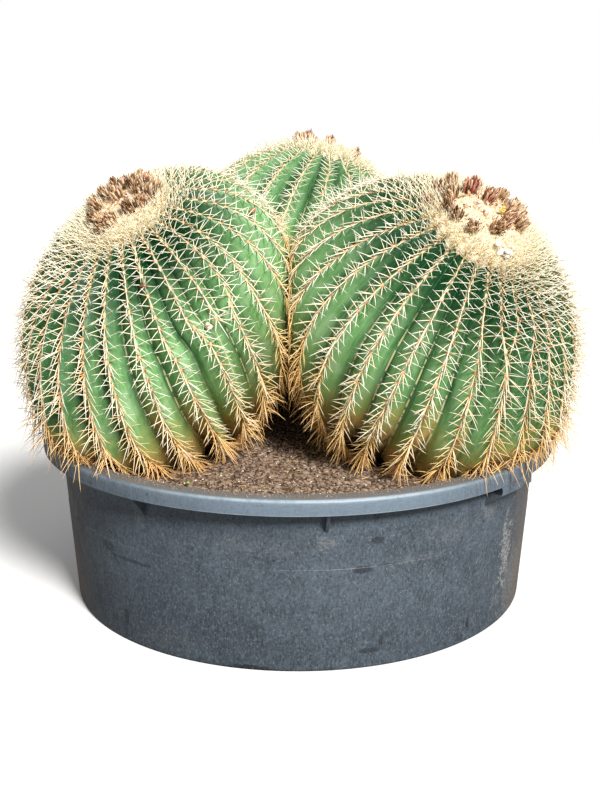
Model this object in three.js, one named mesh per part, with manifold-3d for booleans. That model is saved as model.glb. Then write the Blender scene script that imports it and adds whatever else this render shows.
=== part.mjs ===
// Potted round cactus: three ribbed, spined heads that share one low, wide tub of soil.
// Millimetres, +Z up. The origin is the centre of the tub's flat base, and -Y is the front.
import * as THREE from "three";
import { mergeVertices } from "three/addons/utils/BufferGeometryUtils.js";
import Module from "manifold-3d";

const wasm = await Module();
wasm.setup();

const { degToRad, lerp, smoothstep, seededRandom } = THREE.MathUtils;

// ---------------------------------------------------------------- driving dimensions

const SEED = 11;
const FIT_GAP = 0.35; // between pieces that touch

const TUB = {
  baseRadius: 378,
  cornerRadius: 5,
  wallFlare: 0.07, // how much the radius grows with each millimetre of height
  wallThickness: 6,
  floorThickness: 7,
  rimRadius: 425,
  rimTop: 280.5,
  rimRounding: 8,
  lipThickness: 5.5,
  lipRoot: 4, // how far the wall thickens under the lip
  mouthRadius: 396,
  mouthRounding: 1.3,
  skirtBottom: 256.6,
  skirtThickness: 4.3,
  segments: 54,
};
// Upright plates that stiffen the rim from below, and the two closed grips between them.
const WEB = {
  angles: [-34.7, 5.9, 101.5, 145.3, 185.9, 281.5], thickness: 4.6, bottom: 220, root: 1.5, setBack: 1,
};
const GRIP = { starts: [45.2, 225.2], sweep: 12, steps: 2, outset: 1.4, edge: 243, bottom: 220 };

const SOIL = { top: 261, relief: 3, rings: [0.36, 0.7, 1] };

// A head is a ball with its own radius, rise (centre to top) and drop (centre to bottom).
// Its ribs run from a foot that leans to a crown that leans too, towards the heading
// (degrees from the front, to the right), and its upper half is skewed back from there.
const HEADS = {
  left: {
    centre: [-217, -117, 473], radius: 213, rise: 243, drop: 235,
    heading: -37.6, crownLean: 32, footLean: 48.6, skew: 0.198, crownFlatness: 0.14,
    ribs: 27, turn: -62.5, tufts: 14,
  },
  right: {
    centre: [202, -120, 467], radius: 224, rise: 219, drop: 244,
    heading: 36, crownLean: 41.5, footLean: 39, skew: 0.212, crownFlatness: -0.06,
    ribs: 28, turn: 7, tufts: 17,
  },
  back: {
    centre: [-2, 252, 478], radius: 227, rise: 250, drop: 235,
    heading: 128, crownLean: 17, footLean: 28, skew: -0.03, crownFlatness: 0.05,
    ribs: 25, turn: -13.6, tufts: 13,
  },
};
const ROOT = { lean: 20, below: -35 }; // where every foot turns down into the soil, in degrees
const SOCKET_GAP = 1.2; // between a foot's ribs and the soil
const CROWN_FALL = 42; // how far round the crown its flatness reaches, in degrees

const RIB = { depth: 27, narrowing: 1.3, lowest: -68, highest: 70, rows: 10, stagger: 0.22 };
const AREOLE = { raise: 0.6, halfLength: 4, halfWidth: 2.7, topWidth: 1.3 };
const SPINE = { shortest: 27, longest: 34, spread: 0.72, laneShare: 0.36, crownward: 0.28 };
const LIFTS = [0, 0.45, 0.9, 1.4]; // how far a spine is bent up its rib until it is clear

const DISH = { angle: 16.5, depth: 7 }; // the hollow of a crown that its wool fills
const WOOL = { columns: 24, sole: 15.2, gap: 0.4, rings: [[18, 4], [14.5, 11], [8, 15]], top: 13 };
const TUFT = {
  sides: 5, inner: 9, outer: 14.5, sunk: 6, shortest: 17, longest: 24,
  stalk: 3.6, brush: 7.5, brushAt: 0.62, lean: 0.55,
};

// Clearances that keep heads, spines, rim and soil apart.
const CLEAR = {
  headMargin: 2, spineMargin: 1.2, soil: 2, softness: 4, rimGap: 11.2, rimRise: 5.5, rimSlope: 1.4,
  spineShares: [0.25, 0.5, 1], // the parts of a spine's length where it is looked at
};

// ---------------------------------------------------------------- helpers

seededRandom(SEED);
const randomIn = (low, high) => lerp(low, high, seededRandom());
const upright = (angle) => new THREE.Vector3(Math.sin(angle), -Math.cos(angle), 0);

/** A closed surface under construction: its points, and triangles that face outwards. */
class Skin {
  constructor() {
    this.points = [];
    this.faces = [];
  }

  point(place) {
    return this.points.push(place) - 1;
  }

  /** Adds a triangle, unless two of its corners are one point. */
  face(a, b, c) {
    if (a !== b && b !== c && c !== a) this.faces.push(a, b, c);
  }

  /** Joins two rings of equal length with a band that faces away from the axis. */
  band(lower, upper) {
    lower.forEach((a, i) => {
      const next = (i + 1) % lower.length;
      this.face(a, lower[next], upper[next]);
      this.face(a, upper[next], upper[i]);
    });
  }

  /** Closes a ring with triangles that meet in one point, seen from above or below. */
  cap(ring, apex, fromAbove) {
    ring.forEach((a, i) => {
      const b = ring[(i + 1) % ring.length];
      if (fromAbove) this.face(a, b, apex);
      else this.face(b, a, apex);
    });
  }

  geometry() {
    const flat = this.points.flatMap((p) => p.toArray());
    const shape = new THREE.BufferGeometry();
    shape.setAttribute("position", new THREE.Float32BufferAttribute(flat, 3));
    shape.setIndex(this.faces);
    return shape;
  }
}

function toSolid(geometry) {
  const bare = geometry.clone();
  bare.deleteAttribute("normal");
  bare.deleteAttribute("uv");
  const merged = mergeVertices(bare, 1e-4);
  return new wasm.Manifold(
    new wasm.Mesh({
      numProp: 3,
      vertProperties: merged.getAttribute("position").array,
      triVerts: new Uint32Array(merged.index.array),
    }),
  );
}

function toGeometry(solid) {
  const { vertProperties, triVerts } = solid.getMesh();
  const shape = new THREE.BufferGeometry();
  shape.setAttribute("position", new THREE.BufferAttribute(new Float32Array(vertProperties), 3));
  shape.setIndex(new THREE.BufferAttribute(new Uint32Array(triVerts), 1));
  return shape;
}

function piece(name, geometry, colour, roughness) {
  const shape = geometry.toNonIndexed();
  shape.computeVertexNormals();
  const finish = new THREE.MeshStandardMaterial({ color: colour, roughness, metalness: 0 });
  const mesh = new THREE.Mesh(shape, finish);
  mesh.name = name;
  return mesh;
}

// ---------------------------------------------------------------- tub

const wallRadius = (height) => TUB.baseRadius + TUB.wallFlare * height;
const innerRadius = (height) => wallRadius(height) - TUB.wallThickness;
const underLip = TUB.rimTop - TUB.lipThickness;

/** The tub's section from the middle of its base, round the rim, to the middle of its floor. */
function tubSection() {
  const { cornerRadius, rimRadius, rimTop, rimRounding, mouthRadius, skirtBottom } = TUB;
  const skirtInside = rimRadius - TUB.skirtThickness;
  const cornerSide = wallRadius(cornerRadius);
  const cornerMiddle = cornerRadius * (1 - Math.SQRT1_2);
  const rimMiddle = rimRounding * (1 - Math.SQRT1_2);
  const lipRoot = underLip - TUB.lipRoot;
  return [
    [0, 0],
    [cornerSide - cornerRadius, 0],
    [cornerSide - cornerMiddle, cornerMiddle],
    [cornerSide, cornerRadius],
    [wallRadius(underLip), underLip],
    [skirtInside, underLip],
    [skirtInside, skirtBottom],
    [rimRadius, skirtBottom],
    [rimRadius, rimTop - rimRounding],
    [rimRadius - rimMiddle, rimTop - rimMiddle],
    [rimRadius - rimRounding, rimTop],
    [mouthRadius + TUB.mouthRounding, rimTop],
    [mouthRadius, rimTop - TUB.mouthRounding],
    [innerRadius(lipRoot), lipRoot],
    [innerRadius(TUB.floorThickness), TUB.floorThickness],
    [0, TUB.floorThickness],
  ].map(([radius, height]) => new THREE.Vector2(radius, height));
}

/** Carries a section of [radius, height] points round part of a circle and closes its ends. */
function sector(section, start, sweep, steps) {
  const skin = new Skin();
  const rings = [];
  for (let step = 0; step <= steps; step += 1) {
    const out = upright(start + (sweep * step) / steps);
    rings.push(section.map(([radius, height]) =>
      skin.point(out.clone().multiplyScalar(radius).setZ(height))));
  }
  for (let step = 0; step < steps; step += 1) skin.band(rings[step + 1], rings[step]);
  const [first, last] = [rings[0], rings[steps]];
  for (let i = 1; i < section.length - 1; i += 1) {
    skin.face(first[0], first[i], first[i + 1]);
    skin.face(last[0], last[i + 1], last[i]);
  }
  return toSolid(skin.geometry());
}

function rimWeb(angle) {
  const skirtInside = TUB.rimRadius - TUB.skirtThickness / 2;
  const section = [
    [wallRadius(WEB.bottom) - WEB.root, WEB.bottom],
    [skirtInside, TUB.skirtBottom + WEB.setBack],
    [skirtInside, underLip + WEB.root],
    [wallRadius(underLip) - WEB.root, underLip + WEB.root],
  ];
  const sweep = WEB.thickness / wallRadius(WEB.bottom);
  return sector(section, degToRad(angle) - sweep / 2, sweep, 1);
}

function rimGrip(start) {
  const face = TUB.rimRadius - GRIP.outset;
  const section = [
    [wallRadius(GRIP.bottom) - WEB.root, GRIP.bottom],
    [face, GRIP.edge],
    [face, underLip + WEB.root],
    [wallRadius(underLip) - WEB.root, underLip + WEB.root],
  ];
  return sector(section, degToRad(start), degToRad(GRIP.sweep), GRIP.steps);
}

function makeTub() {
  let tub = toSolid(new THREE.LatheGeometry(tubSection(), TUB.segments).rotateX(Math.PI / 2));
  for (const angle of WEB.angles) tub = tub.add(rimWeb(angle));
  for (const start of GRIP.starts) tub = tub.add(rimGrip(start));
  return piece("tub", toGeometry(tub), 0x4c5663, 0.62);
}

// ---------------------------------------------------------------- heads

const headList = Object.values(HEADS);

/** Works out what a head's shape needs from its driving dimensions. */
function prepare(head) {
  head.middle = new THREE.Vector3(...head.centre);
  head.forward = upright(degToRad(head.heading));
  head.tipAxis = new THREE.Vector3(-head.forward.y, head.forward.x, 0);
  head.fences = headList.filter((other) => other !== head).map((other) => {
    const away = new THREE.Vector3(...other.centre).sub(new THREE.Vector3(...head.centre)).setZ(0);
    const share = head.radius / (head.radius + other.radius);
    const at = new THREE.Vector3(...head.centre).addScaledVector(away, share);
    return { away: away.normalize(), reach: at.dot(away) };
  });
}
headList.forEach(prepare);

/** How far a head's axis leans at a latitude; the foot turns down towards the root. */
function leanAt(head, latitude) {
  const lean = lerp(head.footLean, head.crownLean, (latitude + 90) / 180);
  const turned = smoothstep(ROOT.below - latitude, 0, ROOT.below + 90);
  return degToRad(lerp(lean, ROOT.lean, turned));
}

/** Where a head may reach in the tub's mouth at a height: inside the rim, and out above it. */
const mouthReach = (height) =>
  TUB.mouthRadius - CLEAR.rimGap +
  CLEAR.rimSlope * Math.max(0, height - TUB.rimTop - CLEAR.rimRise);

/** Eases a distance so that it stays below zero. */
const easeBelowZero = (distance) =>
  -CLEAR.softness * Math.log1p(Math.exp(-distance / CLEAR.softness));

/** Presses a point of a head back from its neighbours and from the tub's rim. */
function press(head, place) {
  for (const fence of head.fences) {
    const past = place.dot(fence.away) - fence.reach + CLEAR.headMargin;
    place.addScaledVector(fence.away, easeBelowZero(past) - past);
  }
  const fromAxis = Math.hypot(place.x, place.y);
  const past = fromAxis - mouthReach(place.z);
  const shrink = (fromAxis + easeBelowZero(past) - past) / fromAxis;
  return place.set(place.x * shrink, place.y * shrink, place.z);
}

/** A point of a head: latitude and longitude in degrees, and how far it stands proud. */
function onHead(head, latitude, longitude, proud) {
  const [lat, lon] = [degToRad(latitude), degToRad(longitude)];
  const out = new THREE.Vector3(
    Math.cos(lat) * Math.sin(lon), -Math.cos(lat) * Math.cos(lon), Math.sin(lat),
  ).applyAxisAngle(head.tipAxis, leanAt(head, latitude));
  const flatter = 1 - head.crownFlatness * Math.exp(-(((90 - latitude) / CROWN_FALL) ** 2));
  const place = new THREE.Vector3(
    head.radius * out.x, head.radius * out.y, (out.z > 0 ? head.rise : head.drop) * out.z,
  );
  place.addScaledVector(head.forward, -head.skew * head.radius * out.z);
  place.multiplyScalar(flatter).addScaledVector(out, proud).add(head.middle);
  return press(head, place);
}

const rowPitch = (RIB.highest - RIB.lowest) / (RIB.rows - 1);
const rowLatitude = (row) => RIB.lowest + row * rowPitch;
const crestLongitude = (head, rib) => head.turn + (360 * rib) / head.ribs;

/** Latitude of an areole: neighbouring ribs are staggered, except at the ends of the ribs. */
function areoleLatitude(rib, row) {
  const inner = row > 0 && row < RIB.rows - 1;
  return rowLatitude(row) + (inner ? (rib % 2 ? 1 : -1) * RIB.stagger * rowPitch : 0);
}

function valleyDepth(latitude) {
  return RIB.depth * Math.cos(degToRad(latitude)) ** RIB.narrowing;
}

/** The crest at an areole, with its directions up the rib, to its right and outwards. */
function crestFrame(head, rib, row) {
  const [lat, lon, step] = [areoleLatitude(rib, row), crestLongitude(head, rib), 0.5];
  const at = onHead(head, lat, lon, 0);
  const up = onHead(head, lat + step, lon, 0).sub(onHead(head, lat - step, lon, 0)).normalize();
  const aside = onHead(head, lat, lon + step, 0).sub(onHead(head, lat, lon - step, 0));
  const lane = (aside.length() / (2 * step)) * (360 / head.ribs);
  const right = aside.addScaledVector(up, -aside.dot(up)).normalize();
  return { at, up, right, out: new THREE.Vector3().crossVectors(right, up), lane };
}

const soilTop = SOIL.top + SOIL.relief;

/** Whether a spine's point is clear of the other heads, the rim and the soil. */
function isClear(head, place) {
  const apart = head.fences.every(
    (fence) => place.dot(fence.away) < fence.reach - CLEAR.spineMargin,
  );
  return apart && place.z > soilTop + CLEAR.soil && Math.hypot(place.x, place.y) < mouthReach(place.z);
}

/** The tip of a spine on one side of its areole (-1, 0 or 1), or null where none fits. */
function spineTip(head, frame, side) {
  const length = randomIn(SPINE.shortest, SPINE.longest);
  const sway = randomIn(-1, 1) * SPINE.crownward;
  const spread = Math.min(SPINE.spread, (SPINE.laneShare * frame.lane) / length);
  for (const lift of LIFTS) {
    const along = frame.out.clone().addScaledVector(frame.up, sway + lift).normalize();
    along.multiplyScalar(Math.sqrt(1 - (side * spread) ** 2));
    along.addScaledVector(frame.right, side * spread);
    const onSpine = (share) => frame.at.clone().addScaledVector(along, length * share);
    if (CLEAR.spineShares.every((share) => isClear(head, onSpine(share)))) return onSpine(1);
  }
  return null;
}

/** Raises a three-sided spine from a triangle, or closes the triangle where none fits. */
function raiseSpine(skin, a, b, c, tip) {
  if (!tip) {
    skin.face(a, b, c);
    return;
  }
  const apex = skin.point(tip);
  skin.face(a, b, apex);
  skin.face(b, c, apex);
  skin.face(c, a, apex);
}

/** Lays one areole on its crest: a low pad with up to three spines, or a bare crest point. */
function layAreole(skin, head, rib, row) {
  const frame = crestFrame(head, rib, row);
  const tips = [-1, 0, 1].map((side) => spineTip(head, frame, side));
  const buried = frame.at.z < soilTop + 2 * AREOLE.halfLength;
  if (buried || !tips.some(Boolean)) {
    const bare = skin.point(frame.at);
    return { bottom: bare, right: bare, topRight: bare, topLeft: bare, left: bare };
  }
  const corner = (along, aside, proud) =>
    skin.point(frame.at.clone().addScaledVector(frame.up, along)
      .addScaledVector(frame.right, aside).addScaledVector(frame.out, proud));
  const { raise, halfLength, halfWidth, topWidth } = AREOLE;
  const narrow = Math.min(1, (0.3 * frame.lane) / halfWidth);
  const pad = {
    bottom: corner(-halfLength, 0, raise),
    right: corner(0, halfWidth * narrow, 0),
    topRight: corner(halfLength, topWidth * narrow, raise / 2),
    topLeft: corner(halfLength, -topWidth * narrow, raise / 2),
    left: corner(0, -halfWidth * narrow, 0),
  };
  raiseSpine(skin, pad.topLeft, pad.left, pad.bottom, tips[0]);
  raiseSpine(skin, pad.topLeft, pad.bottom, pad.topRight, tips[1]);
  raiseSpine(skin, pad.bottom, pad.right, pad.topRight, tips[2]);
  return pad;
}

/** Covers the flanks between a crest and the valleys beside it, from one row to the next. */
function coverFlanks(skin, low, high, leftValley, rightValley) {
  const [leftLow, leftHigh] = leftValley;
  const [rightLow, rightHigh] = rightValley;
  skin.face(low.right, rightLow, rightHigh);
  skin.face(low.right, rightHigh, low.topRight);
  skin.face(low.topRight, rightHigh, high.bottom);
  skin.face(high.bottom, rightHigh, high.right);
  skin.face(leftLow, low.left, leftHigh);
  skin.face(leftHigh, low.left, low.topLeft);
  skin.face(leftHigh, low.topLeft, high.bottom);
  skin.face(leftHigh, high.bottom, high.left);
  skin.face(low.topLeft, low.topRight, high.bottom);
}

/** A ribbed head with its spines, hollowed at the crown for its wool. */
function makeHead(name, head) {
  const skin = new Skin();
  const ribs = [...Array(head.ribs).keys()];
  const rows = [...Array(RIB.rows).keys()];
  const crests = ribs.map((rib) => rows.map((row) => layAreole(skin, head, rib, row)));
  const valleys = ribs.map((rib) => rows.map((row) => {
    const latitude = rowLatitude(row);
    const longitude = crestLongitude(head, rib + 0.5);
    return skin.point(onHead(head, latitude, longitude, -valleyDepth(latitude)));
  }));
  const before = (rib) => (rib + head.ribs - 1) % head.ribs;
  for (const rib of ribs) {
    for (const row of rows.slice(0, -1)) {
      const [left, right] = [valleys[before(rib)], valleys[rib]];
      coverFlanks(skin, crests[rib][row], crests[rib][row + 1],
        [left[row], left[row + 1]], [right[row], right[row + 1]]);
    }
  }
  const foot = skin.point(onHead(head, -90, 0, 0));
  const hollow = skin.point(onHead(head, 90, 0, -DISH.depth));
  const last = RIB.rows - 1;
  const dish = ribs.map((rib) =>
    skin.point(onHead(head, 90 - DISH.angle, crestLongitude(head, rib), -DISH.depth)));
  for (const rib of ribs) {
    const [crest, next] = [crests[rib], crests[(rib + 1) % head.ribs]];
    const valley = valleys[rib];
    skin.face(foot, valley[0], crest[0].right);
    skin.face(foot, crest[0].right, crest[0].bottom);
    skin.face(foot, crest[0].bottom, crest[0].left);
    skin.face(foot, next[0].left, valley[0]);
    const [dishHere, dishNext] = [dish[rib], dish[(rib + 1) % head.ribs]];
    skin.face(crest[last].topLeft, crest[last].topRight, dishHere);
    skin.face(crest[last].right, dishHere, crest[last].topRight);
    skin.face(crest[last].right, valley[last], dishHere);
    skin.face(valley[last], dishNext, dishHere);
    skin.face(valley[last], next[last].left, dishNext);
    skin.face(next[last].left, next[last].topLeft, dishNext);
    skin.face(dishHere, dishNext, hollow);
  }
  return piece("head_" + name, skin.geometry(), 0x4f7f55, 0.6);
}

/** The plain outside of a head's foot, a little larger, which sockets it in the soil. */
function footSocket(head) {
  const skin = new Skin();
  const ribs = [...Array(head.ribs).keys()];
  const rings = [];
  for (let row = 0; row < RIB.rows; row += 1) {
    rings.push(ribs.map((rib) => skin.point(
      onHead(head, areoleLatitude(rib, row), crestLongitude(head, rib), SOCKET_GAP))));
  }
  rings.slice(1).forEach((ring, row) => skin.band(rings[row], ring));
  skin.cap(rings[0], skin.point(onHead(head, -90, 0, SOCKET_GAP)), false);
  skin.cap(rings.at(-1), skin.point(onHead(head, 90, 0, 0)), true);
  return toSolid(skin.geometry());
}

// ---------------------------------------------------------------- crowns

/** One dried flower: a short stalk that opens into a pointed brush. */
function driedFlower(head, angle, longitude, length) {
  const skin = new Skin();
  const [latitude, step] = [90 - angle, 1];
  const at = onHead(head, latitude, longitude, WOOL.top - TUFT.sunk);
  const out = onHead(head, latitude, longitude, WOOL.top + length).sub(at).normalize();
  const outward = onHead(head, latitude - step, longitude, WOOL.top).sub(at).normalize();
  const along = out.clone().addScaledVector(outward, TUFT.lean).normalize();
  const side = new THREE.Vector3().crossVectors(along, outward).normalize();
  const front = new THREE.Vector3().crossVectors(side, along);
  const ring = (height, radius) => [...Array(TUFT.sides).keys()].map((i) => {
    const turn = (2 * Math.PI * i) / TUFT.sides;
    return skin.point(at.clone().addScaledVector(along, height)
      .addScaledVector(side, radius * Math.cos(turn))
      .addScaledVector(front, -radius * Math.sin(turn)));
  });
  const stalk = ring(0, TUFT.stalk);
  const brush = ring(TUFT.sunk + TUFT.brushAt * length, TUFT.brush);
  skin.cap(stalk, skin.point(at.clone().addScaledVector(along, -1)), false);
  skin.band(stalk, brush);
  const tip = at.clone().addScaledVector(along, TUFT.sunk + length);
  skin.cap(brush, skin.point(tip), true);
  return toSolid(skin.geometry());
}

/** The woolly cushion in a head's crown, with its dried flowers standing in a wreath. */
function makeCrown(name, head) {
  const skin = new Skin();
  const columns = [...Array(WOOL.columns).keys()];
  const ring = (angle, proud) => columns.map((column) =>
    skin.point(onHead(head, 90 - angle, (360 * column) / WOOL.columns, proud)));
  const soleHeight = WOOL.gap - DISH.depth;
  const rings = [[WOOL.sole, soleHeight], ...WOOL.rings].map(([angle, proud]) => ring(angle, proud));
  rings.slice(1).forEach((upper, i) => skin.band(rings[i], upper));
  skin.cap(rings[0], skin.point(onHead(head, 90, 0, soleHeight)), false);
  skin.cap(rings.at(-1), skin.point(onHead(head, 90, 0, WOOL.top)), true);
  let crown = toSolid(skin.geometry());
  for (let tuft = 0; tuft < head.tufts; tuft += 1) {
    const angle = tuft % 2 ? TUFT.outer : TUFT.inner;
    const longitude = (360 * (tuft + randomIn(-0.2, 0.2))) / head.tufts;
    const length = randomIn(TUFT.shortest, TUFT.longest);
    crown = crown.add(driedFlower(head, angle, longitude, length));
  }
  return piece("crown_" + name, toGeometry(crown), 0xcdb183, 0.95);
}

// ---------------------------------------------------------------- soil

/** Height of the uneven soil at a place in the tub. */
function soilHeight(x, y) {
  const swell = Math.sin(x / 61 + 1.1) * Math.cos(y / 53 - 0.4);
  const ripple = Math.sin((x + 1.7 * y) / 34);
  return SOIL.top + SOIL.relief * (0.65 * swell + 0.35 * ripple);
}

function makeSoil() {
  const skin = new Skin();
  const angles = [...Array(TUB.segments).keys()].map((i) => (2 * Math.PI * i) / TUB.segments);
  const bottom = TUB.floorThickness + FIT_GAP;
  const sole = angles.map((angle) =>
    skin.point(upright(angle).multiplyScalar(innerRadius(bottom) - FIT_GAP).setZ(bottom)));
  const rings = SOIL.rings.map((share) => angles.map((angle) => {
    const place = upright(angle).multiplyScalar(share * (innerRadius(SOIL.top) - FIT_GAP));
    place.setZ(soilHeight(place.x, place.y));
    if (share === 1) place.addScaledVector(upright(angle), TUB.wallFlare * (place.z - SOIL.top));
    return skin.point(place);
  }));
  skin.cap(sole, skin.point(new THREE.Vector3(0, 0, bottom)), false);
  skin.band(sole, rings.at(-1));
  for (let i = rings.length - 1; i > 0; i -= 1) skin.band(rings[i], rings[i - 1]);
  skin.cap(rings[0], skin.point(new THREE.Vector3(0, 0, soilHeight(0, 0))), true);
  let soil = toSolid(skin.geometry());
  for (const head of headList) soil = soil.subtract(footSocket(head));
  return piece("soil", toGeometry(soil), 0x5b4636, 0.97);
}

// ---------------------------------------------------------------- assembly

const group = new THREE.Group();
group.add(makeTub(), makeSoil());
for (const [name, head] of Object.entries(HEADS)) {
  group.add(makeHead(name, head), makeCrown(name, head));
}

export default group;
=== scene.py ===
"""Surfaces, finishes and studio for three round, ribbed cactus heads in one wide plastic tub.

Shapes are worked out in millimetres as whole numpy arrays and enter Blender in metres. The
origin is the centre of the tub's flat base, +Z is up and -Y is the front. A place on a head is
given by a latitude (90 degrees at the crown) and a longitude (0 at the front, growing to the
right), both in degrees.
"""
import logging
import math
from dataclasses import dataclass, field
from enum import Enum
from functools import cached_property
from typing import Any, Callable, Sequence

import bpy
import numpy as np
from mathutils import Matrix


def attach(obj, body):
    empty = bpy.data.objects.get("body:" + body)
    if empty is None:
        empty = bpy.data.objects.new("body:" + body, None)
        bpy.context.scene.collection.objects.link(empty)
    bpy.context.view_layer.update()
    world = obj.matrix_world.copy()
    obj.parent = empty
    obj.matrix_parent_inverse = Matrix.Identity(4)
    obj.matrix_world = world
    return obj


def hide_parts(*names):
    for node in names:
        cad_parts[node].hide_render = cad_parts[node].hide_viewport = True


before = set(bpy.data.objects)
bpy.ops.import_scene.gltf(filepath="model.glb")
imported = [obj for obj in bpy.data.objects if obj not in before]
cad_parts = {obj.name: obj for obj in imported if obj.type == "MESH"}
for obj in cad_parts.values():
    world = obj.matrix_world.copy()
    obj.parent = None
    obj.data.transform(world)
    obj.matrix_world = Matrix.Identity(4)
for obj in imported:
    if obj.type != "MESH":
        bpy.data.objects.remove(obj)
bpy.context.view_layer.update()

LOG = logging.getLogger("potted_cactus")
Array = np.ndarray
Socket = bpy.types.NodeSocket
Span = tuple[float, float]
Triple = tuple[float, float, float]
Colour = Triple

METRES = 0.001
BODY = "root"
# The range that nearly all of a cloudy noise's values lie in.
CLOUD: Span = (0.3, 0.7)
# Metres on the wall's flat map for each radian round the tub.
WALL_MAP = 0.39
# Metres on the skin's map from one crest to the next.
RIB_MAP = 0.048
# How high the wool's dome is: degrees from the crown, and millimetres there.
DOME = ((0, 8, 14.5, 18, 20.5, 22), (13, 15, 11.5, 5.5, 0, -8))


# ------------------------------------------------------------------ plain geometry


def unit(vectors: Array) -> Array:
    """Returns the vectors, each divided by its own length."""
    return vectors / np.maximum(np.linalg.norm(vectors, axis=-1, keepdims=True), 1e-9)


def ease(value: Array, low: float, high: float) -> Array:
    """Returns 0 below low, 1 above high, and the smooth cubic 3t^2 - 2t^3 between them."""
    t = np.clip((np.asarray(value, float) - low) / (high - low), 0.0, 1.0)
    return t * t * (3.0 - 2.0 * t)


def below_zero(distance: Array, softness: float) -> Array:
    """Returns the distance eased to stay below zero: -s log(1 + exp(-d / s))."""
    return -softness * np.logaddexp(0.0, -distance / softness)


def outwards(angle: Array) -> Array:
    """Returns level unit vectors at angles in degrees: 0 is the front, 90 the right."""
    turn = np.radians(angle)
    return np.stack([np.sin(turn), -np.cos(turn), np.zeros_like(turn)], axis=-1)


def grid_quads(rows: int, columns: int, closed: bool) -> Array:
    """Numbers the four corners of each cell of a grid of points, row by row.

    Args:
        rows: Number of rows of points.
        columns: Number of points in a row.
        closed: Whether the last column joins the first.

    Returns:
        An (n, 4) array that turns from column to column and then to the next row.
    """
    across = columns if closed else columns - 1
    row, column = np.meshgrid(np.arange(rows - 1), np.arange(across), indexing="ij")
    here, beside = row * columns + column, row * columns + (column + 1) % columns
    return np.stack([here, beside, beside + columns, here + columns], -1).reshape(-1, 4)


def closed_faces(rows: int, columns: int, flipped: bool = True) -> tuple[Array, Array]:
    """Numbers the faces of a grid that closes round and has a pole past each end.

    The poles are the two points after the grid: first the one before its first row.

    Args:
        rows: Number of rows of points.
        columns: Number of points in a row.
        flipped: Whether the faces are turned over, as rows that run downwards need it.

    Returns:
        The quads between the rows, and the triangles at the poles.
    """
    i, pole = np.arange(columns), rows * columns
    beside, last = (i + 1) % columns, pole - columns
    quads = grid_quads(rows, columns, True)
    tris = np.concatenate([np.stack([beside, i, np.full(columns, pole)], -1),
                           np.stack([last + i, last + beside, np.full(columns, pole + 1)], -1)])
    return (quads[:, ::-1], tris[:, [1, 0, 2]]) if flipped else (quads, tris)


def marks_of(first: Array | float, second: Array | float, third: Array) -> Array:
    """Returns three marks for each point, from values that broadcast together."""
    return np.stack(np.broadcast_arrays(first, second, third), -1)


@dataclass
class Patch:
    """Points in millimetres with the faces between them, and up to three marks per point."""

    points: Array
    quads: Array = field(default_factory=lambda: np.zeros((0, 4), int))
    tris: Array = field(default_factory=lambda: np.zeros((0, 3), int))
    marks: Array | None = None
    quad_uv: Array | None = None


class Sheaf:
    """Gathers patches and turns them into one mesh object that rides on the tub's body."""

    def __init__(self, *patches: Patch) -> None:
        """Starts with the given patches."""
        self.patches = list(patches)

    def add(self, patch: Patch) -> None:
        """Adds one patch."""
        self.patches.append(patch)

    def make(self, name: str, finish: "Finish", slot: str | None = None,
             stands_for: Sequence[str] = ()) -> bpy.types.Object:
        """Args:
            name: The piece's name.
            finish: Its finish.
            slot: The record's material slot; not used.
            stands_for: The CAD nodes that it replaces.

        Returns:
            The new object, at the origin, with its place in its mesh.
        """
        starts = np.cumsum([0] + [len(p.points) for p in self.patches])
        points = np.concatenate([p.points for p in self.patches]) * METRES
        quads = np.concatenate([p.quads + s for p, s in zip(self.patches, starts)])
        tris = np.concatenate([p.tris + s for p, s in zip(self.patches, starts)])
        mesh = bpy.data.meshes.new(name)
        mesh.vertices.add(len(points))
        mesh.vertices.foreach_set("co", points.astype(np.float32).ravel())
        corners = np.concatenate([quads.ravel(), tris.ravel()]).astype(np.int32)
        mesh.loops.add(len(corners))
        mesh.loops.foreach_set("vertex_index", corners)
        first_tri = 4 * len(quads)
        loop_starts = np.concatenate([np.arange(len(quads)) * 4,
                                      first_tri + np.arange(len(tris)) * 3]).astype(np.int32)
        mesh.polygons.add(len(loop_starts))
        mesh.polygons.foreach_set("loop_start", loop_starts)
        mesh.polygons.foreach_set("use_smooth", np.ones(len(loop_starts), bool))
        mesh.update(calc_edges=True)
        if self.patches[0].marks is not None:
            marks = np.concatenate([p.marks for p in self.patches]).astype(np.float32)
            layer = mesh.attributes.new("marks", "FLOAT_VECTOR", "POINT")
            layer.data.foreach_set("vector", marks.ravel())
        if self.patches[0].quad_uv is not None:
            uv = np.zeros((len(corners), 2), np.float32)
            uv[:first_tri] = np.concatenate([p.quad_uv for p in self.patches]).reshape(-1, 2)
            mesh.uv_layers.new(name="follow").data.foreach_set("uv", uv.ravel())
        mesh.materials.append(finish.material())
        piece = bpy.data.objects.new(name, mesh)
        bpy.context.scene.collection.objects.link(piece)
        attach(piece, BODY)
        if stands_for:
            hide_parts(*stands_for)
        LOG.info("%s: %d points, %d faces", name, len(points), len(loop_starts))
        return piece


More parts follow.
